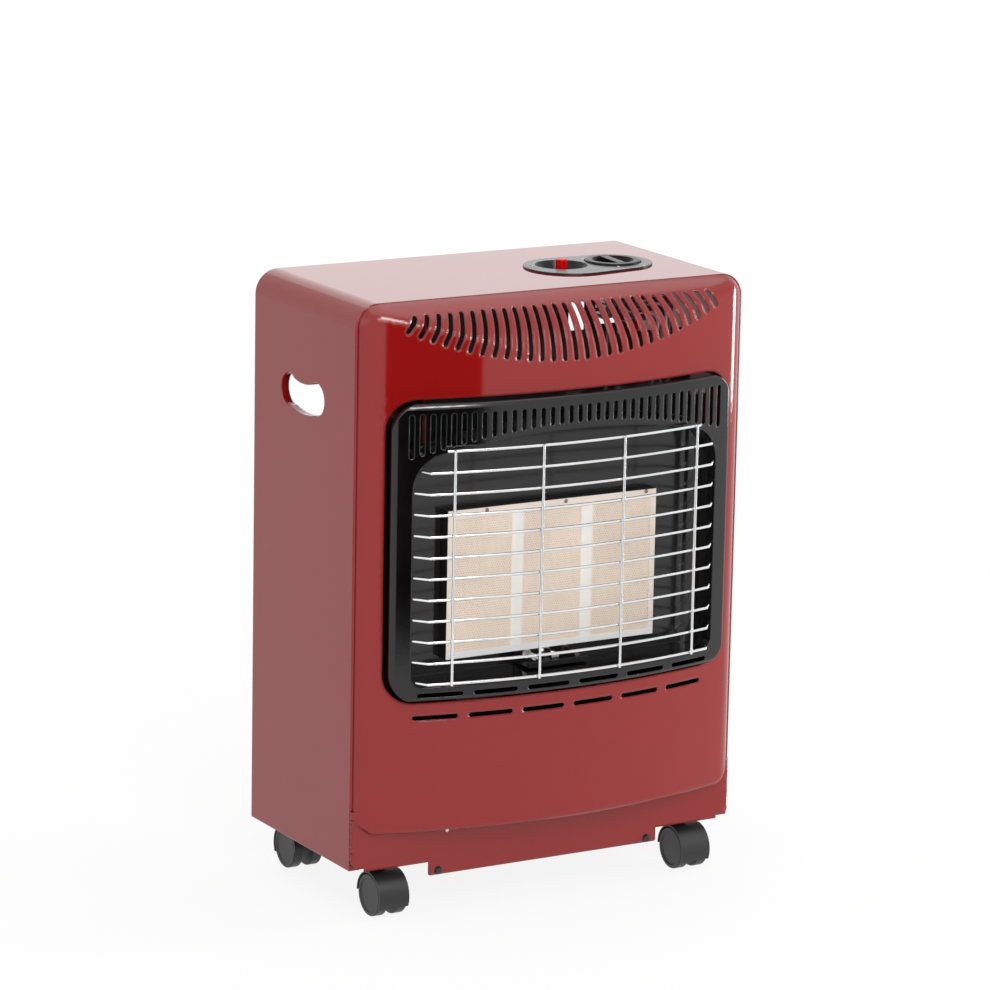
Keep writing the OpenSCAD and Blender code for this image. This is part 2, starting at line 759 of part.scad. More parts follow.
// One level wire: a bowed arc, with a foot bent back into the opening at each end
module level_wire(z, foot) {
    half = foot ? guard_w / 2 : upright_outer / 2 + 6;
    lap = 0.4;
    swing = asin((half + (foot ? lap : 0)) / guard_r);
    translate([0, bow_cy, z]) rotate([0, 0, -90 - swing])
        rotate_extrude(angle = 2 * swing, $fn = 144) translate([guard_r, 0]) circle(wire_r, $fn = 16);
    if (foot) {
        end_x = min(fire_half_at(z - wire_r), fire_half_at(z + wire_r)) - running;
        kink = [half, bow_y(half, guard_r), z];
        wall = [end_x, foot_y, z];
        for (s = [0, 1]) mirror([s, 0, 0]) {
            translate(kink) sphere(wire_r + 2 * running, $fn = 16);
            intersection() {
                rod(kink - unit(wall - kink) * lap, wall + unit(wall - kink) * wire_d, wire_r, $fn = 16);
                box([0, -2 * bow_out, z - over], [end_x, 0, z + over]);
            }
        }
    }
}

module guard_grille() color(bright) on_seam() {
    top = level_z0 + (level_n - 1) * level_pitch;
    for (i = [0:level_n - 1]) level_wire(level_z0 + i * level_pitch, i < level_n - 1);
    for (w = [upright_inner, upright_outer], s = [-1, 1])
        translate([s * w / 2, bow_y(w / 2, upright_r), level_z0 - wire_r])
            cylinder(r = wire_r, h = top - level_z0 + wire_d, $fn = 16);
}

// ---- burner ----

module burner_frame() color(bright) on_seam() {
    half = frame_half;
    y0 = plaque_front_y - metal_t;
    z1 = burner_z1;
    difference() {
        box([-half, y0, burner_z0], [half, plaque_back_y, z1]);
        box([-half + metal_t, plaque_front_y, burner_z0 + metal_t], [half - metal_t, plaque_back_y + over, z1 - metal_t]);
        along_y(y0 - over, over) round_rect(half - frame_border, burner_z0 + frame_border, z1 - 1.5 * frame_border, 2, 2);
    }
}

plaque_z0 = burner_mid_z - plaque_h / 2;
module plaque(i) color(ceramic) on_seam()
    box([(i - 0.5) * plaque_pitch + strip_w / 2, plaque_front_y, plaque_z0],
        [(i + 0.5) * plaque_pitch - strip_w / 2, plaque_back_y, plaque_z0 + plaque_h]);

module plaque_gasket() color(fibre) on_seam() {
    half = frame_half - metal_t;
    difference() {
        box([-half, plaque_front_y, burner_z0 + metal_t], [half, plaque_back_y, burner_z1 - metal_t]);
        for (i = [-1:1]) box([(i - 0.5) * plaque_pitch + strip_w / 2, plaque_front_y - 1, plaque_z0],
            [(i + 0.5) * plaque_pitch - strip_w / 2, plaque_back_y + 1, plaque_z0 + plaque_h]);
    }
}

module burner_box() color(steel) on_seam() {
    flange = 7;
    half = frame_half;
    y0 = plaque_back_y;
    ledge = 2.5;
    difference() {
        union() {
            box([-half, y0, burner_z0], [half, box_back_y, burner_z1]);
            box([-half - flange, reflector_y + sheet_t, burner_z0 - flange], [half + flange, reflector_y + sheet_t + rail_t, burner_z1 + flange]);
        }
        for (i = [-1:1]) box([i * plaque_pitch - plaque_w / 2 + ledge, y0 - 1, plaque_z0 + ledge],
            [i * plaque_pitch + plaque_w / 2 - ledge, box_back_y - rail_t, plaque_z0 + plaque_h - ledge]);
        for (i = [-1:1]) bar_y(i * plaque_pitch, mixer_z1 + 12, mixer_r - 1, box_back_y - over, box_back_y + over);
        for (i = [0:2]) bar_y(pilot_x[i], pilot_z, pilot_r[i] + 1, y0 - over, y0 + 2 * over);
    }
}

module mixing_tube(i) color(alu) on_seam() {
    bend = mixer_y - box_back_y;
    points = [[i * plaque_pitch, mixer_y, mixer_z0], [i * plaque_pitch, mixer_y, mixer_z1 + 12],
        [i * plaque_pitch, box_back_y, mixer_z1 + 12]];
    difference() {
        union() {
            bent_rod(points, mixer_r, bend - 1);
            translate([i * plaque_pitch, mixer_y, mixer_z0]) cylinder(r = mixer_r + 1.5, h = 3);
        }
        bent_rod([points[0] - [0, 0, 1], points[1], points[2] - [0, 1, 0]], mixer_r - 1, bend - 1);
    }
}

injector_hex_r = 6;
injector_neck_r = 4;
injector_tip_r = 2;
injector_neck_l = 8;
injector_tip_l = 3;
rail_end = 4;
rail_rise = 14;
rail_out = 11;
module injector_rail() color(steel) on_seam() {
    half = plaque_pitch + mixer_r + rail_end;
    difference() {
        union() {
            box([-half, box_back_y, rail_z], [half, box_back_y + rail_t, burner_z0 + rail_rise]);
            box([-half, box_back_y, rail_z], [half, mixer_y + rail_out, rail_z + rail_t]);
        }
        for (i = [-1:1]) translate([i * plaque_pitch, mixer_y, rail_z - over]) cylinder(r = injector_neck_r + 0.2, h = 3 * over);
    }
}

module injectors() color(brass) on_seam() for (i = [-1:1]) translate([i * plaque_pitch, mixer_y, 0]) {
    translate([0, 0, injector_z0]) cylinder(r = injector_hex_r, h = rail_z - injector_z0, $fn = 6);
    translate([0, 0, rail_z]) cylinder(r = injector_neck_r, h = injector_neck_l);
    translate([0, 0, rail_z + injector_neck_l]) cylinder(r1 = injector_neck_r, r2 = injector_tip_r, h = injector_tip_l);
}

// Gas pipes run from the tap over the shield, down beside the right bracket and up into the injectors
tap_port_y = tap_y - tap_half;
tap_port_drop = 23;
tap_port_z = tap_top_z - tap_port_drop;
gas_bend = 7.5;
pipe_pitch_x = 9;
pipe_pitch_z = 8;
pipe_drop = 18;
pipe_beside = 17;
module gas_pipe(i) color(alu) on_seam() {
    port_x = tap_x + i * pipe_pitch_x;
    port_z = tap_port_z + i * pipe_pitch_z;
    down_x = bracket_in + bracket_w + pipe_beside + i * pipe_pitch_x;
    low_z = injector_z0 - pipe_drop - i * pipe_pitch_z;
    x = i * plaque_pitch;
    bent_rod([[port_x, tap_port_y, port_z], [port_x, pipe_y, port_z], [down_x, pipe_y, port_z],
        [down_x, pipe_y, low_z], [x, pipe_y, low_z], [x, mixer_y, low_z], [x, mixer_y, injector_z0]],
        pipe_r, gas_bend);
}

// The pilot's pipe and the thermocouple's lead leave the tap's left side
pilot_back_y = 14;
lead_y = pipe_y - 7;
pilot_reach_x = 14;
pilot_reach_y = 8;
pilot_port_up = 6;
pilot_beside = 15;
pilot_low = 26;
module pilot_pipe() color(alu) on_seam() {
    port_z = tap_z0 + pilot_port_up;
    down_x = tap_x - tap_half - pilot_beside;
    low_z = rail_z - pilot_low;
    up_x = pilot_x[0] + pilot_reach_x;
    up_y = pilot_back_y + pilot_reach_y;
    bent_rod([[tap_x - tap_half, tap_y, port_z], [down_x, tap_y, port_z], [down_x, lead_y, port_z],
        [down_x, lead_y, low_z], [up_x, lead_y, low_z], [up_x, up_y, low_z], [up_x, up_y, pilot_z],
        [pilot_x[0], up_y, pilot_z], [pilot_x[0], pilot_back_y, pilot_z]], 2, 5);
}

pilot_shelf_half = 33;
pilot_shelf_d = 28;
pilot_plate_half = 6;
pilot_lip_h = 4;
module pilot_bracket() color(bright) on_seam() {
    half = pilot_shelf_half;
    y1 = plate_front_y;
    shelf_y = y1 - pilot_shelf_d;
    shelf_z = pilot_z - pilot_plate_half;
    difference() {
        union() {
            box([-half, y1 - rail_t, shelf_z], [half, y1, pilot_z + pilot_plate_half]);
            box([-half, shelf_y, shelf_z - rail_t], [half, y1, shelf_z]);
            box([-half, shelf_y, shelf_z], [half, shelf_y + rail_t, shelf_z + pilot_lip_h]);
        }
        pilot_holes(y1 - 2 * rail_t, y1 + over);
    }
}

module collared_pin(i, front_y, collar_r) {
    y_plate = plate_front_y - rail_t;
    bar_y(pilot_x[i], pilot_z, pilot_r[i], front_y, pilot_back_y);
    bar_y(pilot_x[i], pilot_z, collar_r, y_plate - 2, y_plate);
}

module pilot_burner() color(brass) on_seam() collared_pin(0, -18, 5.5);
module spark_electrode() color(fibre) on_seam() {
    collared_pin(2, -14, 4.5);
    bar_y(pilot_x[2], pilot_z, 0.9, -22, -14);
}

module thermocouple() color([0.7, 0.45, 0.3]) on_seam() {
    x = pilot_x[1];
    back_y = pilot_back_y + 8;
    low_z = rail_z - 14;
    run_y = lead_y - 4;
    up_x = tap_x - tap_half - 7;
    port_y = tap_y + 8;
    port_z = tap_z0 + 16;
    collared_pin(1, -22, 4);
    bent_rod([[x, pilot_back_y - 1, pilot_z], [x, back_y, pilot_z], [x, back_y, low_z], [x, run_y, low_z],
        [up_x, run_y, low_z], [up_x, run_y, port_z], [up_x, port_y, port_z], [tap_x - tap_half, port_y, port_z]], 1.2, 3);
}

module ignition_lead() color([0.75, 0.2, 0.15]) on_seam() {
    x = pilot_x[2];
    back_y = pilot_back_y + 8;
    low_z = rail_z - 34;
    up_x = -plaque_pitch - 28;
    high_z = shield_high_z + 8;
    end_x = igniter_x - 25;
    end_z = igniter_z0 - 12;
    bent_rod([[x, pilot_back_y, pilot_z], [x, back_y, pilot_z], [x, back_y, low_z], [x, pipe_y + 1, low_z],
        [up_x, pipe_y + 1, low_z], [up_x, pipe_y + 1, high_z], [up_x, igniter_y, high_z], [end_x, igniter_y, high_z],
        [end_x, igniter_y, end_z], [igniter_x, igniter_y, end_z], [igniter_x, igniter_y, igniter_z0]], 1.6, 4);
}

// ---- controls ----

// Outline of the bezel: two round lobes joined by tangent lines, inset by t
lobe_a = [igniter_x + 3.8, igniter_y - 7];
lobe_b = [tap_x - 3, tap_y - 2.7];
lobe_ra = 44;
lobe_rb = 39.5;
module bezel_outline(t) {
    d = lobe_b - lobe_a;
    lean = acos((lobe_ra - lobe_rb) / norm(d));
    turn = atan2(d[1], d[0]);
    ra = lobe_ra - t;
    rb = lobe_rb - t;
    up = [cos(turn + lean), sin(turn + lean)];
    low = [cos(turn - lean), sin(turn - lean)];
    translate(lobe_a) circle(ra);
    translate(lobe_b) circle(rb);
    polygon([lobe_a + ra * up, lobe_b + rb * up, lobe_b + rb * low, lobe_a + ra * low]);
}

module control_bezel() color(plastic) on_seam() {
    skin = 1;
    difference() {
        union() {
            translate([0, 0, top_z]) linear_extrude(bezel_t - skin / 2) bezel_outline(0);
            translate([0, 0, top_z + bezel_t - skin / 2]) linear_extrude(skin / 2) bezel_outline(skin / 2);
            translate([igniter_x, igniter_y, igniter_cup_z - cup_t])
                cylinder(r = igniter_cup_r + cup_t, h = top_z - igniter_cup_z + cup_t);
            translate([tap_x, tap_y, knob_cup_z - cup_t]) cylinder(r = knob_cup_r + cup_t, h = top_z - knob_cup_z + cup_t);
        }
        translate([igniter_x, igniter_y, igniter_cup_z])
            cylinder(r1 = igniter_cup_r - 7, r2 = igniter_cup_r, h = top_z + bezel_t - igniter_cup_z + skim);
        translate([tap_x, tap_y, knob_cup_z]) cylinder(r = knob_cup_r, h = 4 * over);
        translate([igniter_x, igniter_y, igniter_cup_z - over]) cylinder(r = igniter_neck_r + 0.2, h = 2 * over);
        translate([tap_x, tap_y, knob_cup_z - over]) cylinder(r = spindle_r + pass_gap, h = 2 * over);
    }
}

// The knob is a dial with a dish in its face and a bar across the dish
knob_z0 = knob_cup_z + knob_push + part_gap;
knob_h = top_z + bezel_t + 1.6 - knob_z0;
dish_depth = 5;
module control_knob() color(black) on_seam() translate([tap_x, tap_y, knob_z0]) {
    edge = 1;
    bar_w = 8;
    floor_z = knob_h - dish_depth;
    difference() {
        union() {
            cylinder(r = knob_r, h = knob_h - edge);
            translate([0, 0, knob_h - edge]) cylinder(r1 = knob_r, r2 = knob_r - edge, h = edge);
        }
        translate([0, 0, floor_z]) cylinder(r1 = dish_d / 2 - 3, r2 = dish_d / 2, h = dish_depth + skim);
        translate([0, 0, -1]) cylinder(r = spindle_r + running, h = 1 + socket_h);
    }
    rotate(pointer_turn) intersection() {
        translate([-bar_w / 2, -knob_r, floor_z - 0.5]) cube([bar_w, knob_d, dish_depth + 0.5]);
        cylinder(r = dish_d / 2 - 1, h = knob_h);
    }
}

module tap_spindle() color(steel) on_seam() translate([tap_x, tap_y, tap_top_z - spindle_in])
    cylinder(r = spindle_r, h = knob_z0 + socket_h - tap_top_z + spindle_in);

module tap_bracket() color(steel) on_seam() {
    reach = knob_cup_r + cup_t + 4;
    x0 = tap_x - 20;
    x1 = tap_x + 20;
    y0 = tap_y - reach;
    y1 = tap_y + reach;
    difference() {
        union() {
            box([x0, y0, plate_z], [x1, y1, plate_z + plate_t]);
            for (y = [y0, y1 - plate_t]) box([x0, y, plate_z], [x1, y + plate_t, wrap_top_z]);
        }
        translate([tap_x, tap_y, plate_z - over]) cylinder(r = tap_neck_r + 0.1, h = 2 * over + plate_t);
    }
}

module gas_tap() color(alu) on_seam() {
    magnet_r = 8;
    magnet_l = 20;
    difference() {
        union() {
            box([tap_x - tap_half, tap_port_y, tap_z0], [tap_x + tap_half, tap_y + tap_half, tap_top_z]);
            translate([tap_x, tap_y, tap_top_z]) cylinder(r = tap_neck_r, h = plate_t + 3);
            bar_x(tap_y, tap_z0 + 12, magnet_r, tap_x + tap_half, tap_x + tap_half + magnet_l);
        }
        translate([tap_x, tap_y, tap_top_z - spindle_in - knob_push - part_gap]) cylinder(r = spindle_r + running, h = tap_h);
        bar_y(tap_x, nozzle_z, nozzle_root_r + 0.02, tap_y + tap_half - nozzle_root_l, tap_y + tap_half + over);
    }
}

// Hose nozzle, where the gas comes in from behind
nozzle_z = tap_z0 + 8;
nozzle_root_r = 4;
nozzle_root_l = 8;
module inlet_nozzle() color(brass) on_seam() {
    y0 = tap_y + tap_half;
    hex_h = 7;
    barrel_l = 28;
    bore_r = 2.5;
    tip_l = 4;
    difference() {
        union() {
            bar_y(tap_x, nozzle_z, nozzle_root_r, y0 - nozzle_root_l, y0);
            translate([tap_x, y0, nozzle_z]) rotate([-90, 0, 0]) cylinder(r = 8, h = hex_h, $fn = 6);
            bar_y(tap_x, nozzle_z, nozzle_root_r, y0 + hex_h, y0 + hex_h + barrel_l - tip_l);
            translate([tap_x, y0 + hex_h + barrel_l - tip_l, nozzle_z]) rotate([-90, 0, 0])
                cylinder(r1 = nozzle_root_r, r2 = nozzle_root_r - 0.8, h = tip_l);
        }
        bar_y(tap_x, nozzle_z, bore_r, y0 - nozzle_root_l - 1, y0 + hex_h + barrel_l + 1);
    }
}

module igniter_body() color(black) on_seam() translate([igniter_x, igniter_y, 0]) difference() {
    union() {
        translate([0, 0, igniter_z0]) cylinder(r = igniter_neck_r, h = igniter_cup_z - igniter_z0);
        translate([0, 0, igniter_cup_z]) cylinder(r = igniter_neck_r + 2, h = 1.5);
    }
    translate([0, 0, button_z0 - button_push - part_gap]) cylinder(r = button_r + running, h = igniter_h);
}

module igniter_nut() color(black) on_seam() translate([igniter_x, igniter_y, igniter_cup_z - cup_t - 4]) difference() {
    cylinder(r = igniter_neck_r + 4.5, h = 4, $fn = 6);
    translate([0, 0, -1]) cylinder(r = igniter_neck_r + 0.02, h = 6);
}

module igniter_button() color([0.75, 0.02, 0.03]) on_seam() translate([igniter_x, igniter_y, button_z0]) {
    edge = 0.8;
    length = top_z + bezel_t + button_out - button_z0;
    cylinder(r = button_r, h = length - edge);
    translate([0, 0, length - edge]) cylinder(r1 = button_r, r2 = button_r - edge, h = edge);
}

// ---- fasteners ----

module panel_screws() color(black) on_seam() for (s = [-1, 1]) translate([s * tab_screw_x, -skirt_out, tab_screw_z]) {
    rotate([90, 0, 0]) cylinder(r1 = 4.2, r2 = 3, h = 2.2);
    rotate([-90, 0, 0]) cylinder(r = 1.5, h = 8);
}

// ---- casters ----

caster_spots = [[-caster_x, caster_front_y, 0], [caster_x, caster_front_y, 0],
    [-caster_x, caster_rear_abs, 180], [caster_x, caster_rear_abs, 180]];

// Places a piece under one corner; the wheels lie ahead of the swivel axis
module at_caster(i) on_seam() translate([caster_spots[i][0], caster_spots[i][1], 0])
    rotate(caster_spots[i][2]) children();

hood_top_z = wheel_r + hood_r;
module caster_plate(i) color(steel) at_caster(i) {
    half = plate_w / 2;
    difference() {
        box([-half, -half, base_z - caster_plate_t], [half, half, base_z]);
        for (x = [-1, 1], y = [-1, 1]) translate([x * (half - 5), y * (half - 5), base_z - over]) cylinder(r = 2, h = 2 * over);
    }
    translate([0, 0, wheel_r + 4]) cylinder(r = stem_r, h = base_z - caster_plate_t - wheel_r - 4);
}

module caster_hood(i) color(black) at_caster(i) {
    half = caster_w / 2;
    wall = 1.5;
    boss_top = base_z - caster_plate_t - part_gap;
    difference() {
        union() {
            intersection() {
                translate([0, -caster_trail, 0]) bar_x(0, wheel_r, hood_r, -half, half);
                union() {
                    box([-half - 1, -caster_trail - 2 * hood_r, wheel_r], [half + 1, 2 * hood_r, 3 * hood_r]);
                    box([-half - 1, -caster_trail - 2 * hood_r, wheel_r - 9.5], [half + 1, -caster_trail - hood_r * 0.7, wheel_r + 1]);
                }
            }
            translate([0, 0, wheel_r]) cylinder(r = web_half, h = boss_top - wheel_r);
            translate([0, 0, hood_top_z - 5]) cylinder(r = 8, h = boss_top - hood_top_z + 5);
            translate([0, -caster_trail, 0]) bar_x(0, wheel_r, web_half + 1, -web_half, web_half);
        }
        // room for the wheels on both sides of the web
        for (s = [0, 1]) mirror([s, 0, 0]) translate([0, -caster_trail, 0]) bar_x(0, wheel_r, hood_r - wall, web_half, half + 1);
        translate([0, 0, wheel_r + 4 - part_gap]) cylinder(r = stem_r + running, h = 50);
        translate([0, -caster_trail, 0]) bar_x(0, wheel_r, axle_r + 0.02, -half, half);
    }
}

module caster_axle(i) color(steel) at_caster(i)
    translate([0, -caster_trail, 0]) bar_x(0, wheel_r, axle_r, -caster_w / 2 + 3, caster_w / 2 - 3);

// One wheel; side is -1 or 1 along x before the caster is turned
module wheel(i, side) color(black) at_caster(i) mirror([side < 0 ? 1 : 0, 0, 0])
    translate([web_half + part_gap, -caster_trail, wheel_r]) rotate([0, 90, 0]) {
        w = caster_w / 2 - web_half - part_gap - 0.2;
        edge = 1.5;
        difference() {
            union() {
                cylinder(r = wheel_r - edge, h = w);
                translate([0, 0, edge]) cylinder(r = wheel_r, h = w - 2 * edge);
                translate([0, 0, edge]) rotate_extrude() translate([wheel_r - edge, 0]) circle(edge, $fn = 32);
                translate([0, 0, w - edge]) rotate_extrude() translate([wheel_r - edge, 0]) circle(edge, $fn = 32);
            }
            translate([0, 0, -1]) cylinder(r = axle_r + running, h = w - 1.8 + part_gap);
            translate([0, 0, w - 0.8]) cylinder(r1 = wheel_r - 4.5, r2 = wheel_r - 3.5, h = 1);
        }
    }

cabinet_wrap();
front_panel();
base_tray();
rear_cover();
heat_shield();
support_bracket(-1);  // support_bracket_left
support_bracket(1);  // support_bracket_right
fire_surround();
reflector();
guard_grille();
burner_frame();
plaque(-1);  // plaque_left
plaque(0);  // plaque_centre
plaque(1);  // plaque_right
plaque_gasket();
burner_box();
mixing_tube(-1);  // mixing_tube_left
mixing_tube(0);  // mixing_tube_centre
mixing_tube(1);  // mixing_tube_right
injector_rail();
injectors();
gas_pipe(-1);  // gas_pipe_left
gas_pipe(0);  // gas_pipe_centre
gas_pipe(1);  // gas_pipe_right
pilot_pipe();
pilot_bracket();
pilot_burner();
spark_electrode();
thermocouple();
ignition_lead();
tap_bracket();
gas_tap();
tap_spindle();
inlet_nozzle();
control_bezel();
control_knob();
igniter_body();
igniter_nut();
igniter_button();
panel_screws();
caster_plate(0);  // caster_plate_front_left
caster_plate(1);  // caster_plate_front_right
caster_plate(2);  // caster_plate_rear_left
caster_plate(3);  // caster_plate_rear_right
caster_hood(0);  // caster_hood_front_left
caster_hood(1);  // caster_hood_front_right
caster_hood(2);  // caster_hood_rear_left
caster_hood(3);  // caster_hood_rear_right
caster_axle(0);  // caster_axle_front_left
caster_axle(1);  // caster_axle_front_right
caster_axle(2);  // caster_axle_rear_left
caster_axle(3);  // caster_axle_rear_right
wheel(0, -1);  // wheel_front_left_outer
wheel(0, 1);  // wheel_front_left_inner
wheel(1, -1);  // wheel_front_right_inner
wheel(1, 1);  // wheel_front_right_outer
wheel(2, 1);  // wheel_rear_left_outer
wheel(2, -1);  // wheel_rear_left_inner
wheel(3, 1);  // wheel_rear_right_inner
wheel(3, -1);  // wheel_rear_right_outer
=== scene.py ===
"""Portable gas cabinet heater: the looks of its pieces, in the order in which it is put together."""

import math

import bpy
import numpy as np
from mathutils import Matrix, Vector
from mathutils.geometry import delaunay_2d_cdt


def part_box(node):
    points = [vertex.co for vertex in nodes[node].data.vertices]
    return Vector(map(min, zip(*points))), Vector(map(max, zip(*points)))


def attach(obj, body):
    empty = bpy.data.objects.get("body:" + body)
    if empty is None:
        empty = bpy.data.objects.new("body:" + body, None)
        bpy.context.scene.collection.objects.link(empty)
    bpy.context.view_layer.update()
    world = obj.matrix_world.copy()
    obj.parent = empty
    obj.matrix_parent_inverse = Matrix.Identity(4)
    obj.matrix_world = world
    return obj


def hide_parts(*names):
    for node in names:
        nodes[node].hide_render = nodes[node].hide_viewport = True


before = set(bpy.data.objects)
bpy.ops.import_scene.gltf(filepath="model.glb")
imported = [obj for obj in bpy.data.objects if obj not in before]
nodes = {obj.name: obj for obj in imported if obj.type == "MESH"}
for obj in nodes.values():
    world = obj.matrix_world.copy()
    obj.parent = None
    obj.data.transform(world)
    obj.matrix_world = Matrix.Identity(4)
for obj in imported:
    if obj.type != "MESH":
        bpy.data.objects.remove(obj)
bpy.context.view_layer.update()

# ---- the camera --------------------------------------------------------------------
# It stands well back on the side of the left hand hole, a little above the heater, and looks
# slightly down. The seam is the plane where the front panel meets the cabinet's wrap.

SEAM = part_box("cabinet_wrap")[0].y
WRAP_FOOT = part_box("cabinet_wrap")[0].z


def at(x, y, z):
    """A point from the middle, behind the seam and above the wrap's lower edge, all in mm."""
    return Vector((x / 1000, y / 1000 + SEAM, z / 1000 + WRAP_FOOT))


CAMERA_AIM = at(-59.03, 0, 347.60)
CAMERA_DISTANCE = 4.42912
camera_turn, camera_dip, camera_roll = (math.radians(a) for a in (30.287, 12.900, 1.108))
ahead = Vector((math.sin(camera_turn) * math.cos(camera_dip),
                math.cos(camera_turn) * math.cos(camera_dip),
                -math.sin(camera_dip)))
level_right = ahead.cross(Vector((0, 0, 1))).normalized()
level_up = level_right.cross(ahead)
right = math.cos(camera_roll) * level_right + math.sin(camera_roll) * level_up
up = math.cos(camera_roll) * level_up - math.sin(camera_roll) * level_right
camera_data = bpy.data.cameras.new("camera")
camera_data.lens = 171.76
camera_data.sensor_width = 36
camera_data.clip_end = 40
camera = bpy.data.objects.new("camera", camera_data)
bpy.context.scene.collection.objects.link(camera)
camera.matrix_world = Matrix.Translation(CAMERA_AIM - CAMERA_DISTANCE * ahead) @ Matrix(
    (right, up, -ahead)).transposed().to_4x4()
bpy.context.scene.camera = camera
bpy.context.scene.view_settings.view_transform = "Standard"

# ---- the studio --------------------------------------------------------------------
# A pale floor, a white room and large soft lamps. The floor shows the camera mostly its own
# white and keeps a light shadow, which fades out with the distance from the heater.


def new_material(name):
    mat = bpy.data.materials.new(name)
    mat.use_nodes = True
    tree = mat.node_tree
    return mat, tree, tree.nodes["Principled BSDF"]


def add(tree, kind, x=0, y=0, **settings):
    """A node of that kind, with its settings, and its inputs by name where they're given."""
    node = tree.nodes.new(kind)
    node.location = (x, y)
    for key, value in settings.items():
        if key.startswith("in_"):
            node.inputs[key[3:].replace("_", " ")].default_value = value
        else:
            setattr(node, key, value)
    return node


def link(tree, a, out, b, into):
    tree.links.new(a.outputs[out], b.inputs[into])


def wired(tree, *links):
    for a, out, b, into in links:
        link(tree, a, out, b, into)


def lamp(name, place, aim, size, watts):
    """A soft rectangular lamp that faces its aim."""
    data = bpy.data.lights.new(name, "AREA")
    data.shape = "RECTANGLE"
    data.size, data.size_y = size
    data.energy = watts
    obj = bpy.data.objects.new(name, data)
    bpy.context.scene.collection.objects.link(obj)
    obj.location = place
    obj.rotation_euler = (Vector(aim) - Vector(place)).to_track_quat("-Z", "Y").to_euler()
    return obj


HEATER_MIDDLE = (0, 0, 0.3)
lamp("front_lamp", (-0.9, -2.6, 1.5), HEATER_MIDDLE, (1.6, 1.6), 39)
brow_lamp = lamp("brow_lamp", (0.0, -1.9, 2.0), HEATER_MIDDLE, (0.7, 0.8), 30)
brow_lamp.visible_diffuse = False
lamp("side_lamp", (-2.6, -0.2, 1.4), HEATER_MIDDLE, (1.4, 1.4), 3)
lamp("edge_lamp", (2.4, -0.5, 0.5), HEATER_MIDDLE, (0.5, 1.4), 38)
lamp("top_lamp", (0.2, 0.3, 2.6), HEATER_MIDDLE, (2.2, 2.2), 13)
lamp("rear_lamp", (1.3, 2.6, 1.6), HEATER_MIDDLE, (2.8, 1.6), 6.8)

world = bpy.data.worlds.new("room")
bpy.context.scene.world = world
world.use_nodes = True
room = world.node_tree
room_light = room.nodes["Background"]
room_light.inputs["Color"].default_value = (1, 1, 1, 1)
room_light.inputs["Strength"].default_value = 0.62
room_seen = add(room, "ShaderNodeBackground", in_Color=(1, 1, 1, 1), in_Strength=1.0)
room_path = add(room, "ShaderNodeLightPath")
seen_or_gloss = add(room, "ShaderNodeMath", operation="MAXIMUM")
seen_any = add(room, "ShaderNodeMath", operation="MAXIMUM")
room_mix = add(room, "ShaderNodeMixShader")
wired(room, (room_path, "Is Camera Ray", seen_or_gloss, 0), (room_path, "Is Glossy Ray", seen_or_gloss, 1),
      (seen_or_gloss, 0, seen_any, 0), (room_path, "Is Transmission Ray", seen_any, 1),
      (seen_any, 0, room_mix, 0), (room_light, 0, room_mix, 1), (room_seen, 0, room_mix, 2),
      (room_mix, 0, room.nodes["World Output"], "Surface"))

FLOOR_HALF = 9
floor_mesh = bpy.data.meshes.new("floor")
floor_mesh.from_pydata([(-FLOOR_HALF, -FLOOR_HALF, 0), (FLOOR_HALF, -FLOOR_HALF, 0),
                        (FLOOR_HALF, FLOOR_HALF, 0), (-FLOOR_HALF, FLOOR_HALF, 0)], [], [(0, 1, 2, 3)])
floor = bpy.data.objects.new("floor", floor_mesh)
bpy.context.scene.collection.objects.link(floor)
floor_paint, tree, shader = new_material("floor_paint")
shader.inputs["Base Color"].default_value = (0.9, 0.9, 0.9, 1)
shader.inputs["Roughness"].default_value = 0.9
shader.inputs["Specular IOR Level"].default_value = 0.0
floor_glow = add(tree, "ShaderNodeEmission", in_Color=(1, 1, 1, 1), in_Strength=1.0)
floor_path = add(tree, "ShaderNodeLightPath")
floor_share = add(tree, "ShaderNodeMath", operation="MULTIPLY")
floor_place = add(tree, "ShaderNodeTexCoord")
floor_reach = add(tree, "ShaderNodeVectorMath", operation="LENGTH")
floor_fade = add(tree, "ShaderNodeMapRange", in_From_Min=0.3, in_From_Max=1.5, in_To_Min=0.88, in_To_Max=1.0)
floor_either = add(tree, "ShaderNodeMath", operation="MAXIMUM")
floor_mix = add(tree, "ShaderNodeMixShader")
wired(tree, (floor_place, "Object", floor_reach, 0), (floor_reach, "Value", floor_fade, "Value"),
      (floor_fade, 0, floor_share, 1), (floor_path, "Is Camera Ray", floor_either, 0),
      (floor_path, "Is Glossy Ray", floor_either, 1), (floor_either, 0, floor_share, 0),
      (floor_share, 0, floor_mix, 0), (shader, 0, floor_mix, 1), (floor_glow, 0, floor_mix, 2),
      (floor_mix, 0, tree.nodes["Material Output"], "Surface"))
floor_mesh.materials.append(floor_paint)


def dark_card(name, x0, x1, y, z1):
    """A black upright card, from x0 to x1 and up to z1, that only reflections see."""
    corners = [(x0, y, 0), (x1, y, 0), (x1, y, z1), (x0, y, z1)]
    mesh = bpy.data.meshes.new(name)
    mesh.from_pydata(corners, [], [(0, 1, 2, 3)])
    card = bpy.data.objects.new(name, mesh)
    bpy.context.scene.collection.objects.link(card)
    card_black, _, shader = new_material(name + "_black")
    shader.inputs["Base Color"].default_value = (0.004, 0.004, 0.004, 1)
    shader.inputs["Specular IOR Level"].default_value = 0.0
    mesh.materials.append(card_black)
    card.visible_camera = card.visible_diffuse = card.visible_shadow = card.visible_transmission = False


dark_card("front_card", -0.29, 0.128, -1.12, 0.5)

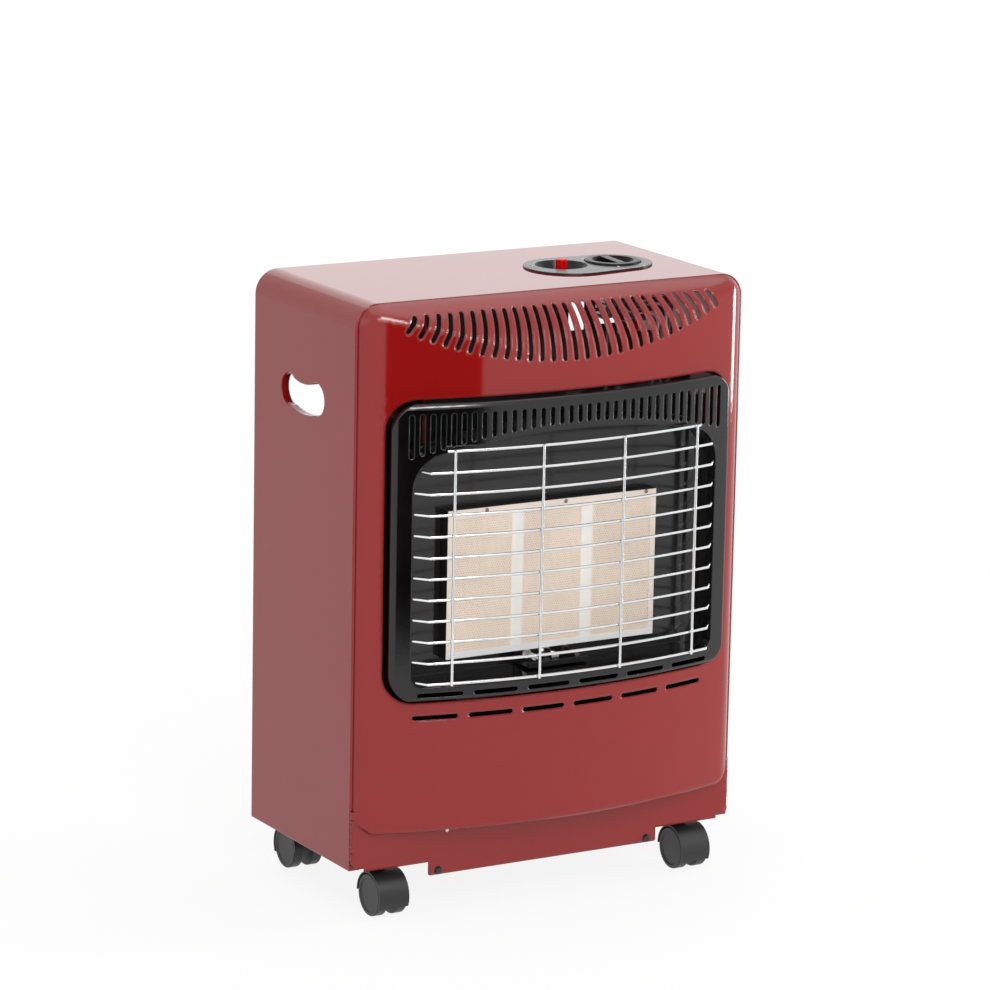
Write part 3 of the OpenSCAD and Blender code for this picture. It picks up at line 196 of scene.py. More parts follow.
# ---- casters -----------------------------------------------------------------------
# Twin wheel casters of moulded black nylon: a hood over two wheels on a steel axle, on a
# stem that turns in a zinc plated plate. The plate is screwed under the base.


def group(name, inputs, outputs):
    """An empty shader group with its named sockets; each input is (name, kind, value)."""
    made = bpy.data.node_groups.new(name, "ShaderNodeTree")
    for label, kind, value in inputs:
        socket = made.interface.new_socket(label, in_out="INPUT", socket_type="NodeSocket" + kind)
        socket.default_value = value
    for label, kind in outputs:
        made.interface.new_socket(label, in_out="OUTPUT", socket_type="NodeSocket" + kind)
    return made, made.nodes.new("NodeGroupInput"), made.nodes.new("NodeGroupOutput")


# Fine moulded or sprayed grain: a cell noise that lifts the surface and shifts colour and gloss
grain, g_in, g_out = group("surface_grain", [
    ("Size", "Float", 900.0), ("Height", "Float", 0.15), ("Colour", "Color", (0.1, 0.1, 0.1, 1)),
    ("Colour Shift", "Float", 0.06), ("Gloss", "Float", 0.5), ("Gloss Shift", "Float", 0.1),
    ("Normal", "Vector", (0, 0, 0))],
    [("Colour", "Color"), ("Roughness", "Float"), ("Normal", "Vector")])
g_place = add(grain, "ShaderNodeTexCoord")
g_fine = add(grain, "ShaderNodeTexNoise", in_Detail=3.0, in_Roughness=0.55)
g_broad = add(grain, "ShaderNodeTexNoise", in_Scale=14.0, in_Detail=4.0, in_Roughness=0.6)
g_bump = add(grain, "ShaderNodeBump", in_Distance=0.0004)
g_swing = add(grain, "ShaderNodeMapRange", in_From_Min=0.3, in_From_Max=0.7, in_To_Min=-1.0,
              in_To_Max=1.0)
g_tint = add(grain, "ShaderNodeMath", operation="MULTIPLY_ADD")
g_tint.inputs[2].default_value = 1.0
g_colour = add(grain, "ShaderNodeVectorMath", operation="SCALE")
g_rough = add(grain, "ShaderNodeMath", operation="MULTIPLY_ADD", use_clamp=True)
wired(grain, (g_place, "Object", g_fine, "Vector"), (g_place, "Object", g_broad, "Vector"),
      (g_in, "Size", g_fine, "Scale"), (g_in, "Height", g_bump, "Strength"),
      (g_in, "Normal", g_bump, "Normal"), (g_fine, "Fac", g_bump, "Height"),
      (g_broad, "Fac", g_swing, "Value"), (g_swing, 0, g_tint, 0), (g_in, "Colour Shift", g_tint, 1),
      (g_in, "Colour", g_colour, 0), (g_tint, 0, g_colour, "Scale"), (g_swing, 0, g_rough, 0),
      (g_in, "Gloss Shift", g_rough, 1), (g_in, "Gloss", g_rough, 2), (g_colour, 0, g_out, "Colour"),
      (g_rough, 0, g_out, "Roughness"), (g_bump, 0, g_out, "Normal"))


def grained(name, colour, roughness, size=900.0, height=0.15, colour_shift=0.06, gloss_shift=0.05,
            edge=0.0, **shader_values):
    """A material from the grain group, with its edges rounded by edge metres."""
    mat, tree, shader = new_material(name)
    g = add(tree, "ShaderNodeGroup", -300, node_tree=grain)
    for key, value in (("Size", size), ("Height", height), ("Colour", (*colour, 1)),
                       ("Colour Shift", colour_shift), ("Gloss", roughness), ("Gloss Shift", gloss_shift)):
        g.inputs[key].default_value = value
    if edge:
        rounded = add(tree, "ShaderNodeBevel", -500, samples=6, in_Radius=edge)
    else:
        rounded = add(tree, "ShaderNodeNewGeometry", -500)
    link(tree, rounded, "Normal", g, "Normal")
    link(tree, g, "Colour", shader, "Base Color")
    link(tree, g, "Roughness", shader, "Roughness")
    link(tree, g, "Normal", shader, "Normal")
    for key, value in shader_values.items():
        shader.inputs[key.replace("_", " ")].default_value = value
    return mat


def dress(mat, *names):
    """Gives the material to the pieces of those names."""
    for name in names:
        slots = nodes[name].data.materials
        slots.clear()
        slots.append(mat)


CASTERS = ("front_left", "front_right", "rear_left", "rear_right")
black_nylon = grained("black_nylon", (0.011, 0.011, 0.012), 0.42, size=1400, height=0.12)
turned_steel = grained("turned_steel", (0.58, 0.58, 0.6), 0.3, size=2200, height=0.05, Metallic=1.0)
zinc_sheet = grained("zinc_sheet", (0.56, 0.57, 0.58), 0.38, size=160, height=0.04, colour_shift=0.12,
                     Metallic=1.0)
for name in CASTERS:
    dress(black_nylon, "caster_hood_" + name, "wheel_" + name + "_outer", "wheel_" + name + "_inner")
    dress(turned_steel, "caster_axle_" + name)
    dress(zinc_sheet, "caster_plate_" + name)

# ---- base tray and wrap ------------------------------------------------------------
# Folded sheet steel, stoved with glossy red enamel. The wrap is one sheet bent over the top
# and down both sides, with a hand hole in each side.


def red_coat(name, edge):
    """The glossy red enamel, on sheet whose edges are rounded by edge metres."""
    return grained(name, (0.24, 0.0055, 0.005), 0.055, size=420, height=0.015, colour_shift=0.03,
                   gloss_shift=0.01, edge=edge, Specular_IOR_Level=0.55)


red_enamel = red_coat("red_enamel", 0.0016)
dress(red_enamel, "base_tray", "cabinet_wrap", "rear_cover")

# ---- inner sheets ------------------------------------------------------------------
# A dark enamelled heat shield behind the burner, and the two brackets that carry the burner.
# A strip lapped behind the shield carries its top edge up between the pipes.


def mesh_piece(name, points, faces, body, slot, mat):
    """A piece of the object from its points and faces."""
    mesh = bpy.data.meshes.new(name)
    mesh.from_pydata(points, [], faces)
    mesh.materials.append(mat)
    made = bpy.data.objects.new(name, mesh)
    bpy.context.scene.collection.objects.link(made)
    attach(made, body)
    return made


def plate_piece(name, outline, y0, y1, body, slot, mat):
    """A flat plate with an anticlockwise outline, as seen from the front, from y0 back to y1."""
    n = len(outline)
    points = [tuple(at(x, y, z)) for y in (y0, y1) for x, z in outline]
    faces = [tuple(range(n)), tuple(range(2 * n - 1, n - 1, -1))]
    faces += [(i, i + n, (i + 1) % n + n, (i + 1) % n) for i in range(n)]
    return mesh_piece(name, points, faces, body, slot, mat)


STRIP_FRONT, STRIP_BACK = 67.05, 67.85
STRIP_OUTLINE = [(40, 469), (110.5, 469), (110.5, 487), (87.5, 487), (87.5, 515),
                 (75, 515), (75, 483), (57, 483), (57, 515), (40, 515)]
shield_enamel = grained("shield_enamel", (0.014, 0.020, 0.022), 0.38, size=240, height=0.06, edge=0.0005)
dress(shield_enamel, "heat_shield", "support_bracket_left", "support_bracket_right")
plate_piece("shield_strip", STRIP_OUTLINE, STRIP_FRONT, STRIP_BACK, "cabinet", "galvanised", shield_enamel)

# ---- burner ------------------------------------------------------------------------
# Three drilled ceramic plaques in a fibre gasket, clamped between a sheet metal frame and the burner
# box. Three mixing tubes feed the box from the injectors on their rail.

bare_ceramic = grained("bare_ceramic", (0.80, 0.69, 0.59), 0.85, size=500, height=0.2)
fibre_felt = grained("fibre_felt", (0.78, 0.77, 0.73), 0.95, size=1600, height=0.6)
dress(fibre_felt, "plaque_gasket")

# The frame's face is tinted cream, a painted reflection of the plaques and the red panel; its lower
# border is lighter, a painted highlight; and its edges behind the face are black
REFLECTED_CREAM, PAINTED_HIGHLIGHT, BLACK_BEHIND = (0.80, 0.70, 0.62), (0.78, 0.79, 0.78), (0.02, 0.018, 0.017)
BORDER_HEIGHT, FACE_THICKNESS = 0.0062, 0.0007
frame_lo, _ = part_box("burner_frame")
# the cream tint of the frame's face is a painted reflection of the plaques and the red panel
reflection_tinted_sheet = grained("reflection_tinted_sheet", REFLECTED_CREAM, 0.3, size=90, height=0.05, colour_shift=0.05, Metallic=0.4)
dress(reflection_tinted_sheet, "burner_frame")
tree = reflection_tinted_sheet.node_tree
frame_place = add(tree, "ShaderNodeTexCoord", -1100)
frame_axes = add(tree, "ShaderNodeSeparateXYZ", -900)
link(tree, frame_place, "Object", frame_axes, 0)
MIX_FROM, MIX_TO, MIX_RESULT = 6, 7, 2


def tinted(axis, kind, limit, tint):
    """A mix of frame colours that gives the tint where the axis compares so with the limit."""
    past = add(tree, "ShaderNodeMath", -700, operation=kind)
    past.inputs[1].default_value = limit
    link(tree, frame_axes, axis, past, 0)
    mix = add(tree, "ShaderNodeMix", -500, data_type="RGBA")
    mix.inputs[MIX_TO].default_value = (*tint, 1)
    link(tree, past, 0, mix, "Factor")
    return mix


# the lower border of the frame is made lighter here: a painted highlight
frame_face = tinted("Z", "LESS_THAN", frame_lo.z + BORDER_HEIGHT, PAINTED_HIGHLIGHT)
frame_face.inputs[MIX_FROM].default_value = (*REFLECTED_CREAM, 1)
# every surface of the frame behind its face is coloured near black here
frame_all = tinted("Y", "GREATER_THAN", frame_lo.y + FACE_THICKNESS, BLACK_BEHIND)
wired(tree, (frame_face, MIX_RESULT, frame_all, MIX_FROM),
      (frame_all, MIX_RESULT, tree.nodes["Group"], "Colour"))


def maths(tree, kind, a, out, value):
    """A value node of that kind, fed with an output and a number."""
    node = add(tree, "ShaderNodeMath", operation=kind)
    link(tree, a, out, node, 0)
    node.inputs[1].default_value = value
    return node


def compared(tree, kind, data, a, out, b, into=None):
    """Whether an output compares so with a number, or with the output into of b."""
    node = add(tree, "FunctionNodeCompare", data_type=data, operation=kind)
    first, second = (2, 3) if data == "INT" else (0, 1)
    link(tree, a, out, node, first)
    if into is None:
        node.inputs[second].default_value = b
    else:
        link(tree, b, into, node, second)
    return node


# A plaque lies flat with its face up: a sheet of staggered cells, each with a well sunk in it
plaque_tree = bpy.data.node_groups.new("drilled_plaque", "GeometryNodeTree")
for label, kind, value in (
        ("Geometry", "Geometry", None), ("Width", "Float", 0.065), ("Height", "Float", 0.133),
        ("Thickness", "Float", 0.012), ("Columns", "Int", 26), ("Rows", "Int", 60),
        ("Margin", "Float", 0.0015), ("Hole", "Float", 0.6), ("Depth", "Float", 0.0012),
        ("Material", "Material", None)):
    socket = plaque_tree.interface.new_socket(label, in_out="INPUT", socket_type="NodeSocket" + kind)
    if value is not None:
        socket.default_value = value
plaque_tree.interface.new_socket("Geometry", in_out="OUTPUT", socket_type="NodeSocketGeometry")
t, p_in = plaque_tree, plaque_tree.nodes.new("NodeGroupInput")
p_out = plaque_tree.nodes.new("NodeGroupOutput")
grid = add(t, "GeometryNodeMeshGrid")
place = add(t, "GeometryNodeInputIndex")
row = add(t, "FunctionNodeIntegerMath", operation="MODULO")
odd = add(t, "FunctionNodeIntegerMath", operation="MODULO")
odd.inputs[1].default_value = 2
column = add(t, "FunctionNodeIntegerMath", operation="DIVIDE_FLOOR")
last_column = maths(t, "SUBTRACT", p_in, "Columns", 1)
not_first = compared(t, "GREATER_THAN", "INT", column, 0, 0)
not_last = compared(t, "LESS_THAN", "INT", column, 0, last_column, 0)
inner = add(t, "FunctionNodeBooleanMath", operation="AND")
pitch = add(t, "ShaderNodeMath", operation="DIVIDE")
side = maths(t, "SUBTRACT", odd, 0, 0.5)
half_pitch = maths(t, "MULTIPLY", pitch, 0, 0.5)
step_aside = add(t, "ShaderNodeMath", operation="MULTIPLY")
aside = add(t, "ShaderNodeCombineXYZ")
stagger = add(t, "GeometryNodeSetPosition")
split = add(t, "GeometryNodeTriangulate")
cells = add(t, "GeometryNodeDualMesh", in_Keep_Boundaries=True)
wired(t, (p_in, "Width", grid, "Size X"), (p_in, "Height", grid, "Size Y"),
      (p_in, "Columns", grid, "Vertices X"), (p_in, "Rows", grid, "Vertices Y"),
      (place, 0, row, 0), (p_in, "Rows", row, 1), (row, 0, odd, 0),
      (place, 0, column, 0), (p_in, "Rows", column, 1), (not_first, 0, inner, 0), (not_last, 0, inner, 1),
      (p_in, "Width", pitch, 0), (last_column, 0, pitch, 1),
      (side, 0, step_aside, 0), (half_pitch, 0, step_aside, 1), (step_aside, 0, aside, 0),
      (grid, "Mesh", stagger, "Geometry"), (inner, 0, stagger, "Selection"),
      (aside, 0, stagger, "Offset"), (stagger, 0, split, "Mesh"), (split, 0, cells, "Mesh"))
where = add(t, "GeometryNodeInputPosition")
parted = add(t, "ShaderNodeSeparateXYZ")
less_margin = maths(t, "MULTIPLY", p_in, "Margin", -1.0)
link(t, where, 0, parted, 0)
in_field = add(t, "FunctionNodeBooleanMath", operation="AND")
for axis, size in enumerate(("Width", "Height")):
    reach = maths(t, "ABSOLUTE", parted, axis, 0)
    limit = maths(t, "MULTIPLY_ADD", p_in, size, 0.5)
    link(t, less_margin, 0, limit, 2)
    link(t, compared(t, "LESS_THAN", "FLOAT", reach, 0, limit, 0), 0, in_field, axis)
rim = add(t, "GeometryNodeExtrudeMesh", mode="FACES", in_Offset_Scale=0.0, in_Individual=True)
mouth = add(t, "GeometryNodeScaleElements", domain="FACE")
sink = maths(t, "MULTIPLY", p_in, "Depth", -1.0)
well = add(t, "GeometryNodeExtrudeMesh", mode="FACES", in_Individual=True)
uses = add(t, "GeometryNodeInputMeshEdgeNeighbors")
border = compared(t, "EQUAL", "INT", uses, 0, 1)
below = maths(t, "MULTIPLY", p_in, "Thickness", -1.0)
drop = add(t, "ShaderNodeCombineXYZ")
walls = add(t, "GeometryNodeExtrudeMesh", mode="EDGES", in_Offset_Scale=1.0)
foot_line = add(t, "GeometryNodeMeshToCurve")
back_face = add(t, "GeometryNodeFillCurve", mode="NGONS")
lowered = add(t, "GeometryNodeTransform")
turned_over = add(t, "GeometryNodeFlipFaces")
joined = add(t, "GeometryNodeJoinGeometry")
welded = add(t, "GeometryNodeMergeByDistance", in_Distance=0.00002)
real = add(t, "GeometryNodeRealizeInstances")
clad = add(t, "GeometryNodeSetMaterial")
wired(t, (cells, 0, rim, "Mesh"), (in_field, 0, rim, "Selection"), (rim, "Mesh", mouth, "Geometry"),
      (rim, "Top", mouth, "Selection"), (p_in, "Hole", mouth, "Scale"), (mouth, 0, well, "Mesh"),
      (rim, "Top", well, "Selection"), (sink, 0, well, "Offset Scale"), (well, "Mesh", walls, "Mesh"),
      (border, 0, walls, "Selection"), (below, 0, drop, 2), (drop, 0, walls, "Offset"),
      (walls, "Mesh", foot_line, "Mesh"), (walls, "Top", foot_line, "Selection"),
      (foot_line, 0, back_face, "Curve"), (back_face, 0, lowered, 0),
      (drop, 0, lowered, "Translation"), (lowered, 0, turned_over, 0),
      (turned_over, 0, joined, 0), (walls, "Mesh", joined, 0), (joined, 0, welded, 0), (welded, 0, real, 0),
      (real, 0, clad, 0), (p_in, "Material", clad, "Material"), (clad, 0, p_out, 0))


def grown(name, tree, values, matrix, body):
    """A piece that a geometry tree makes from its named inputs, as a plain mesh put in place."""
    seed = bpy.data.objects.new(name + "_seed", bpy.data.meshes.new(name + "_seed"))
    bpy.context.scene.collection.objects.link(seed)
    maker = seed.modifiers.new("maker", "NODES")
    maker.node_group = tree
    for item in tree.interface.items_tree:
        if item.in_out == "INPUT" and item.name in values:
            maker[item.identifier] = values[item.name]
    graph = bpy.context.evaluated_depsgraph_get()
    mesh = bpy.data.meshes.new_from_object(seed.evaluated_get(graph), depsgraph=graph)
    bpy.data.objects.remove(seed)
    mesh.name = name
    mesh.transform(matrix)
    made = bpy.data.objects.new(name, mesh)
    bpy.context.scene.collection.objects.link(made)
    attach(made, body)
    return made


for name in ("left", "centre", "right"):
    lo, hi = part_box("plaque_" + name)
    upright = Matrix(((1, 0, 0, (lo.x + hi.x) / 2), (0, 0, -1, lo.y),
                      (0, 1, 0, (lo.z + hi.z) / 2), (0, 0, 0, 1)))
    drilled = grown("drilled_plaque_" + name, plaque_tree, {"Material": bare_ceramic}, upright,
                    "cabinet")
    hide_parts("plaque_" + name)


def turned(spots, profile, forward):
    """Points and faces of turned pieces that stand on their spots, forward or up.

    The profile runs from the foot's rim to the tip, as (radius, height)."""
    points, faces, sides = [], [], 24
    *rings, (_, tip_height) = profile

    def raised(spot, c, d, h):
        """A point h over its spot and c and d off its axis."""
        local = (c, -h, d) if forward else (c, -d, h)
        return tuple(at(*(a + b for a, b in zip(spot, local))))

    for spot in spots:
        base = len(points)
        tip = base + sides * len(rings)
        for r, h in rings:
            for i in range(sides):
                turn = math.tau * i / sides
                points.append(raised(spot, r * math.cos(turn), r * math.sin(turn), h))
        points.append(raised(spot, 0, 0, tip_height))
        foot = range(base, base + sides)
        faces.append(tuple(reversed(foot)) if forward else tuple(foot))
        for start in range(base, tip, sides):
            for i in range(sides):
                a, b = start + i, start + (i + 1) % sides
                face = (a, b, tip) if start + sides == tip else (a, b, b + sides, a + sides)
                faces.append(face if forward else face[::-1])
    return points, faces


SCREW_HEAD = [(1.9, 0), (1.9, 0.5), (1.3, 1.1), (0, 1.25)]
FRAME_SCREWS = [(-72.4, -8.62, 336.3), (13.7, -8.62, 336.4), (102.6, -8.62, 337.2)]
dark_screw = grained("dark_screw", (0.22, 0.19, 0.18), 0.4, size=900, height=0.05, Metallic=1.0)
mesh_piece("frame_screws", *turned(FRAME_SCREWS, SCREW_HEAD, True), "cabinet", "screw_black", dark_screw)
aged_sheet = grained("aged_sheet", (0.10, 0.10, 0.10), 0.5, size=180, height=0.08, colour_shift=0.2,
                     Metallic=1.0)
dress(aged_sheet, "burner_box", "injector_rail", "tap_bracket")
bare_aluminium = grained("bare_aluminium", (0.30, 0.30, 0.31), 0.4, size=260, height=0.06, Metallic=1.0)
turned_brass = grained("turned_brass", (0.56, 0.40, 0.13), 0.28, size=1800, height=0.05, Metallic=1.0)
dress(bare_aluminium, "mixing_tube_left", "mixing_tube_centre", "mixing_tube_right",
      "gas_pipe_left", "gas_pipe_centre", "gas_pipe_right", "pilot_pipe", "gas_tap")
dress(turned_brass, "injectors", "inlet_nozzle")

# ---- reflector ---------------------------------------------------------------------
# A pressed sheet in glossy black enamel that frames the burner.

black_gloss = grained("black_gloss", (0.010, 0.009, 0.009), 0.12, size=300, height=0.05, edge=0.001)
dress(black_gloss, "reflector")

# ---- pilot -------------------------------------------------------------------------
# Pilot burner, spark electrode and thermocouple on a dark bracket, with the electrode's lead.

pilot_sheet = grained("pilot_sheet", (0.035, 0.035, 0.037), 0.35, size=180, height=0.08, edge=0.0008,
                      Metallic=1.0)
bright_sheet = grained("bright_sheet", (0.80, 0.78, 0.75), 0.22, size=70, height=0.05, colour_shift=0.05,
                       Metallic=1.0)
glazed_white = grained("glazed_white", (0.82, 0.81, 0.77), 0.12, size=500, height=0.02)
burnt_copper = grained("burnt_copper", (0.16, 0.11, 0.09), 0.35, size=800, height=0.05, Metallic=1.0)
silicone_red = grained("silicone_red", (0.36, 0.03, 0.02), 0.5, size=900, height=0.1)
dress(pilot_sheet, "pilot_bracket")
dress(bright_sheet, "pilot_burner")
dress(glazed_white, "spark_electrode")
dress(burnt_copper, "thermocouple")
dress(silicone_red, "ignition_lead")

# ---- front panel and surround ------------------------------------------------------
# The bowed panel is pressed from one sheet with its louvres cut through, in the same red, and
# has a plain skirt under its lip. The surround is a black enamelled pressing. All sizes are in mm.

HALF, TOP, LIP, SHEET = 210.0, 540.0, 35.4, 1.0
FACE_OUT, BOW_RISE = 45.0, 36.0
BOW_R = (HALF ** 2 + BOW_RISE ** 2) / (2 * BOW_RISE)
BOW_BACK = BOW_R - FACE_OUT
ROLL_R = 28.0
ROLL_X = HALF - ROLL_R
ROLL_BACK = BOW_BACK - math.sqrt((BOW_R - ROLL_R) ** 2 - ROLL_X ** 2)
SIDE = ROLL_X + math.sqrt(ROLL_R ** 2 - ROLL_BACK ** 2)
SHOULDER_R, SHOULDER_Y, SHOULDER_Z = 76.0, 30.41, -69.68
# lower than this over its centre the shoulder is straight, with that slope and sine of its lean
STRAIGHT, STRAIGHT_SLOPE, STRAIGHT_LEAN = 9.7, 0.1287, 0.1276
CREASE_BLEND = 60
# the face falls steeply to the seam from an edge drawn this much outside it, with round corners
EDGE_OUT, EDGE_R, EDGE_STEEP, EDGE_BLEND = 3.33, 34, 2.4, 8.0
LIP_ROLL, CORNER = 6, 22.0
SKIRT, SKIRT_ROLL = 4.0, 3


def soft_least(a, b, k):
    """The lesser of two depths, blended where they're within k of each other."""
    h = np.maximum(k - np.abs(a - b), 0) / k
    return np.minimum(a, b) - h * h * k / 4


def face_depth(x, z):
    """How far the bowed face stands out of the seam, with its soft crease and its rolled edges."""
    ax = np.abs(x)
    bow = np.sqrt(BOW_R ** 2 - np.minimum(ax, ROLL_X + 9) ** 2) - BOW_BACK
    roll = np.sqrt(np.maximum(ROLL_R ** 2 - np.clip(ax - ROLL_X, 0, ROLL_R) ** 2, 0)) - ROLL_BACK
    across = np.where(ax > BOW_R / (BOW_R - ROLL_R) * ROLL_X, roll, bow)
    rise = z - TOP - SHOULDER_Z
    arc = np.sqrt(np.maximum(SHOULDER_R ** 2 - np.clip(rise, STRAIGHT, SHOULDER_R) ** 2, 0)) - SHOULDER_Y
    arc = arc + STRAIGHT_SLOPE * np.maximum(STRAIGHT - rise, 0)
    lean = np.arcsin(np.clip(rise / SHOULDER_R, STRAIGHT_LEAN, 0.999))
    depth = soft_least(across, arc, CREASE_BLEND * (1 / np.cos(lean / 2) - 1) + 0.05)
    qx, qz = ax - (SIDE + EDGE_OUT - EDGE_R), z - (TOP + EDGE_OUT - EDGE_R)
    inside = EDGE_R - np.where((qx > 0) & (qz > 0), np.hypot(qx, qz), np.maximum(qx, qz))
    depth = soft_least(depth, EDGE_STEEP * inside, EDGE_BLEND)
    # the roll along the lower edge and round its two corners
    cx, cz = ax - (SIDE - CORNER), LIP + CORNER - z
    corner = (cx > 0) & (cz > 0)
    reach = np.hypot(cx, cz)
    low = np.where(corner, CORNER - reach, z - LIP)
    share = np.where(corner, cz / np.maximum(reach, 1e-6), 1.0)
    into = np.clip(LIP_ROLL - low, 0, LIP_ROLL)
    return depth - share * (LIP_ROLL - np.sqrt(np.maximum(LIP_ROLL ** 2 - into ** 2, 0)))


def skirt_depth(x, z):
    """How far the flat skirt stands out, with its rolled side edges."""
    edge = np.clip(np.abs(x) - (HALF - SKIRT_ROLL), 0, SKIRT_ROLL)
    return SKIRT - SKIRT_ROLL + np.sqrt(np.maximum(SKIRT_ROLL ** 2 - edge ** 2, 0)) + 0 * z


def spaced(ring, step):
    """A closed outline with points no further apart than step."""
    out = []
    for p, q in zip(ring, ring[1:] + ring[:1]):
        n = max(int(math.dist(p, q) / step), 1)
        out += [(p[0] + (q[0] - p[0]) * i / n, p[1] + (q[1] - p[1]) * i / n) for i in range(n)]
    return out


def arc_points(cx, cz, r, start, end, steps):
    """Points along an arc between two angles in degrees."""
    return [(cx + r * math.cos(math.radians(start + (end - start) * i / steps)),
             cz + r * math.sin(math.radians(start + (end - start) * i / steps))) for i in range(steps + 1)]


def slot_outline(a, b, w):
    """A slot with round ends between two points."""
    lean = math.degrees(math.atan2(b[1] - a[1], b[0] - a[0]))
    far_end = arc_points(*b, w / 2, lean - 90, lean + 90, 8)
    near_end = arc_points(*a, w / 2, lean + 90, lean + 270, 8)
    return spaced(far_end + near_end, 2.5)


def mirrored(right_half):
    """A closed outline from its right half, drawn from the foot up."""
    return right_half + [(-x, z) for x, z in reversed(right_half)]


def inside_ring(points, ring):
    """Which points lie inside the ring, by how often a level line crosses it."""
    x, z = points[:, 0], points[:, 1]
    hit = np.zeros(len(points), bool)
    for (x0, z0), (x1, z1) in zip(ring, ring[1:] + ring[:1]):
        if z0 != z1:
            hit ^= ((z0 > z) != (z1 > z)) & (x < (x1 - x0) * (z - z0) / (z1 - z0) + x0)
    return hit


def clear_of(points, ring, room):
    """Which points keep that room to the ring's own points."""
    ring = np.array(ring)
    close = np.all((points > ring.min(0) - room) & (points < ring.max(0) + room), axis=1)
    clear = np.ones(len(points), bool)
    if close.any():
        apart = np.linalg.norm(points[close][:, None] - ring[None], axis=2)
        clear[close] = apart.min(axis=1) > room
    return clear


def lattice(x0, x1, z0, z1, dx, dz):
    """Staggered rows of points."""
    rows = []
    for j, z in enumerate(np.arange(z0, z1, dz)):
        xs = np.arange(x0 + (j % 2) * dx / 2, x1, dx)
        rows.append(np.stack([xs, np.full(len(xs), z)], axis=1))
    return np.concatenate(rows)


FILL_ROOM = 1.3
NO_TUCK = 99


def pressed_sheet(outline, holes, fill, depth, tuck):
    """Points, faces and front normals of a sheet pressed to a depth, and its count of front faces.

    Its open foot is tucked back to the depth tuck."""
    keep = inside_ring(fill, outline) & clear_of(fill, outline, FILL_ROOM)
    for ring in holes:
        keep &= ~inside_ring(fill, ring) & clear_of(fill, ring, FILL_ROOM)
    verts, edges = [Vector(p) for p in fill[keep]], []
    for ring in (outline, *holes):
        base = len(verts)
        verts += [Vector(p) for p in ring]
        edges += [(base + i, base + (i + 1) % len(ring)) for i in range(len(ring))]
    flat, _, faces, *_ = delaunay_2d_cdt(verts, edges, [], 0, 1e-7, False)
    flat = np.array([tuple(p) for p in flat])
    tris = np.array(faces)
    middle = flat[tris].mean(axis=1)
    good = inside_ring(middle, outline)
    for ring in holes:
        good &= ~inside_ring(middle, ring)
    tris = tris[good]
    x, z, e = flat[:, 0], flat[:, 1], 0.05
    d = np.maximum(depth(x, z), 0)
    fall_x = depth(x - e, z) - depth(x + e, z)
    fall_z = depth(x, z - e) - depth(x, z + e)
    normal = np.stack([fall_x, np.full(len(x), -2 * e), fall_z], 1)
    normal /= np.linalg.norm(normal, axis=1)[:, None]
    front = np.stack([x, -d, z], 1)
    back = front - normal * SHEET
    n = len(flat)
    points = [*front, *back]
    faces = [tuple(t) for t in tris] + [tuple(n + t[::-1]) for t in tris]
    sides = {(t[i], t[(i + 1) % 3]) for t in tris for i in range(3)}
    tucked = {}

    def foot(i):
        """The two points behind a point of the lower edge, or the point and its inner one."""
        if d[i] <= tuck + 0.2 or z[i] > LIP + CORNER + 0.5:
            return i, n + i
        if i not in tucked:
            tucked[i] = (len(points), len(points) + 1)
            points.append(np.array((x[i], -tuck, z[i])))
            points.append(np.array((back[i][0], -tuck, back[i][2])))
        return tucked[i]

    for a, b in sides:
        if (b, a) in sides:
            continue
        (fa, ga), (fb, gb) = foot(a), foot(b)
        for quad in ((b, a, fa, fb), (fb, fa, ga, gb), (gb, ga, n + a, n + b)):
            ring = list(dict.fromkeys(quad))
            if len(ring) > 2:
                faces.append(tuple(ring))
    return points, faces, normal, len(tris)


def corner_outline():
    """The upper corner of the face where it meets the seam, from the side to the top."""
    out, steps, core = [], 16, 40
    for i in range(steps + 1):
        turn, near, far = math.radians(90 * i / steps), 0.0, 80.0
        for _ in range(40):
            m = (near + far) / 2
            px, pz = SIDE - core + m * math.cos(turn), TOP - core + m * math.sin(turn)
            fits = px <= SIDE and pz <= TOP and face_depth(np.array([px]), np.array([pz]))[0] > 0
            near, far = (m, far) if fits else (near, m)
        out.append((SIDE - core + near * math.cos(turn), TOP - core + near * math.sin(turn)))
    return out


# The louvres fan out from a level line of upper ends to a curved line of lower ends
LOUVRES_A_SIDE, LOUVRE_WIDTH, LOUVRE_TOP = 14, 4.4, TOP - 12.6
VENTS, VENT_PITCH, VENT_REACH, VENT_Z, VENT_WIDTH = 6, 54.6, 19.85, 148.5, 4.3
louvres = []
for i in range(-LOUVRES_A_SIDE, LOUVRES_A_SIDE + 1):
    share = (i / LOUVRES_A_SIDE) ** 3
    upper_end = (i * 10.6 + 10.6 * share, LOUVRE_TOP)
    lower_end = (i * 12.25 - 4.5 * share, LOUVRE_TOP - 45.6 + 34 * (i / LOUVRES_A_SIDE) ** 2)
    louvres.append(slot_outline(upper_end, lower_end, LOUVRE_WIDTH))
vents = []
for i in range(VENTS):
    vent_x = (i - 2.5) * VENT_PITCH
    vents.append(slot_outline((vent_x - VENT_REACH, VENT_Z), (vent_x + VENT_REACH, VENT_Z), VENT_WIDTH))

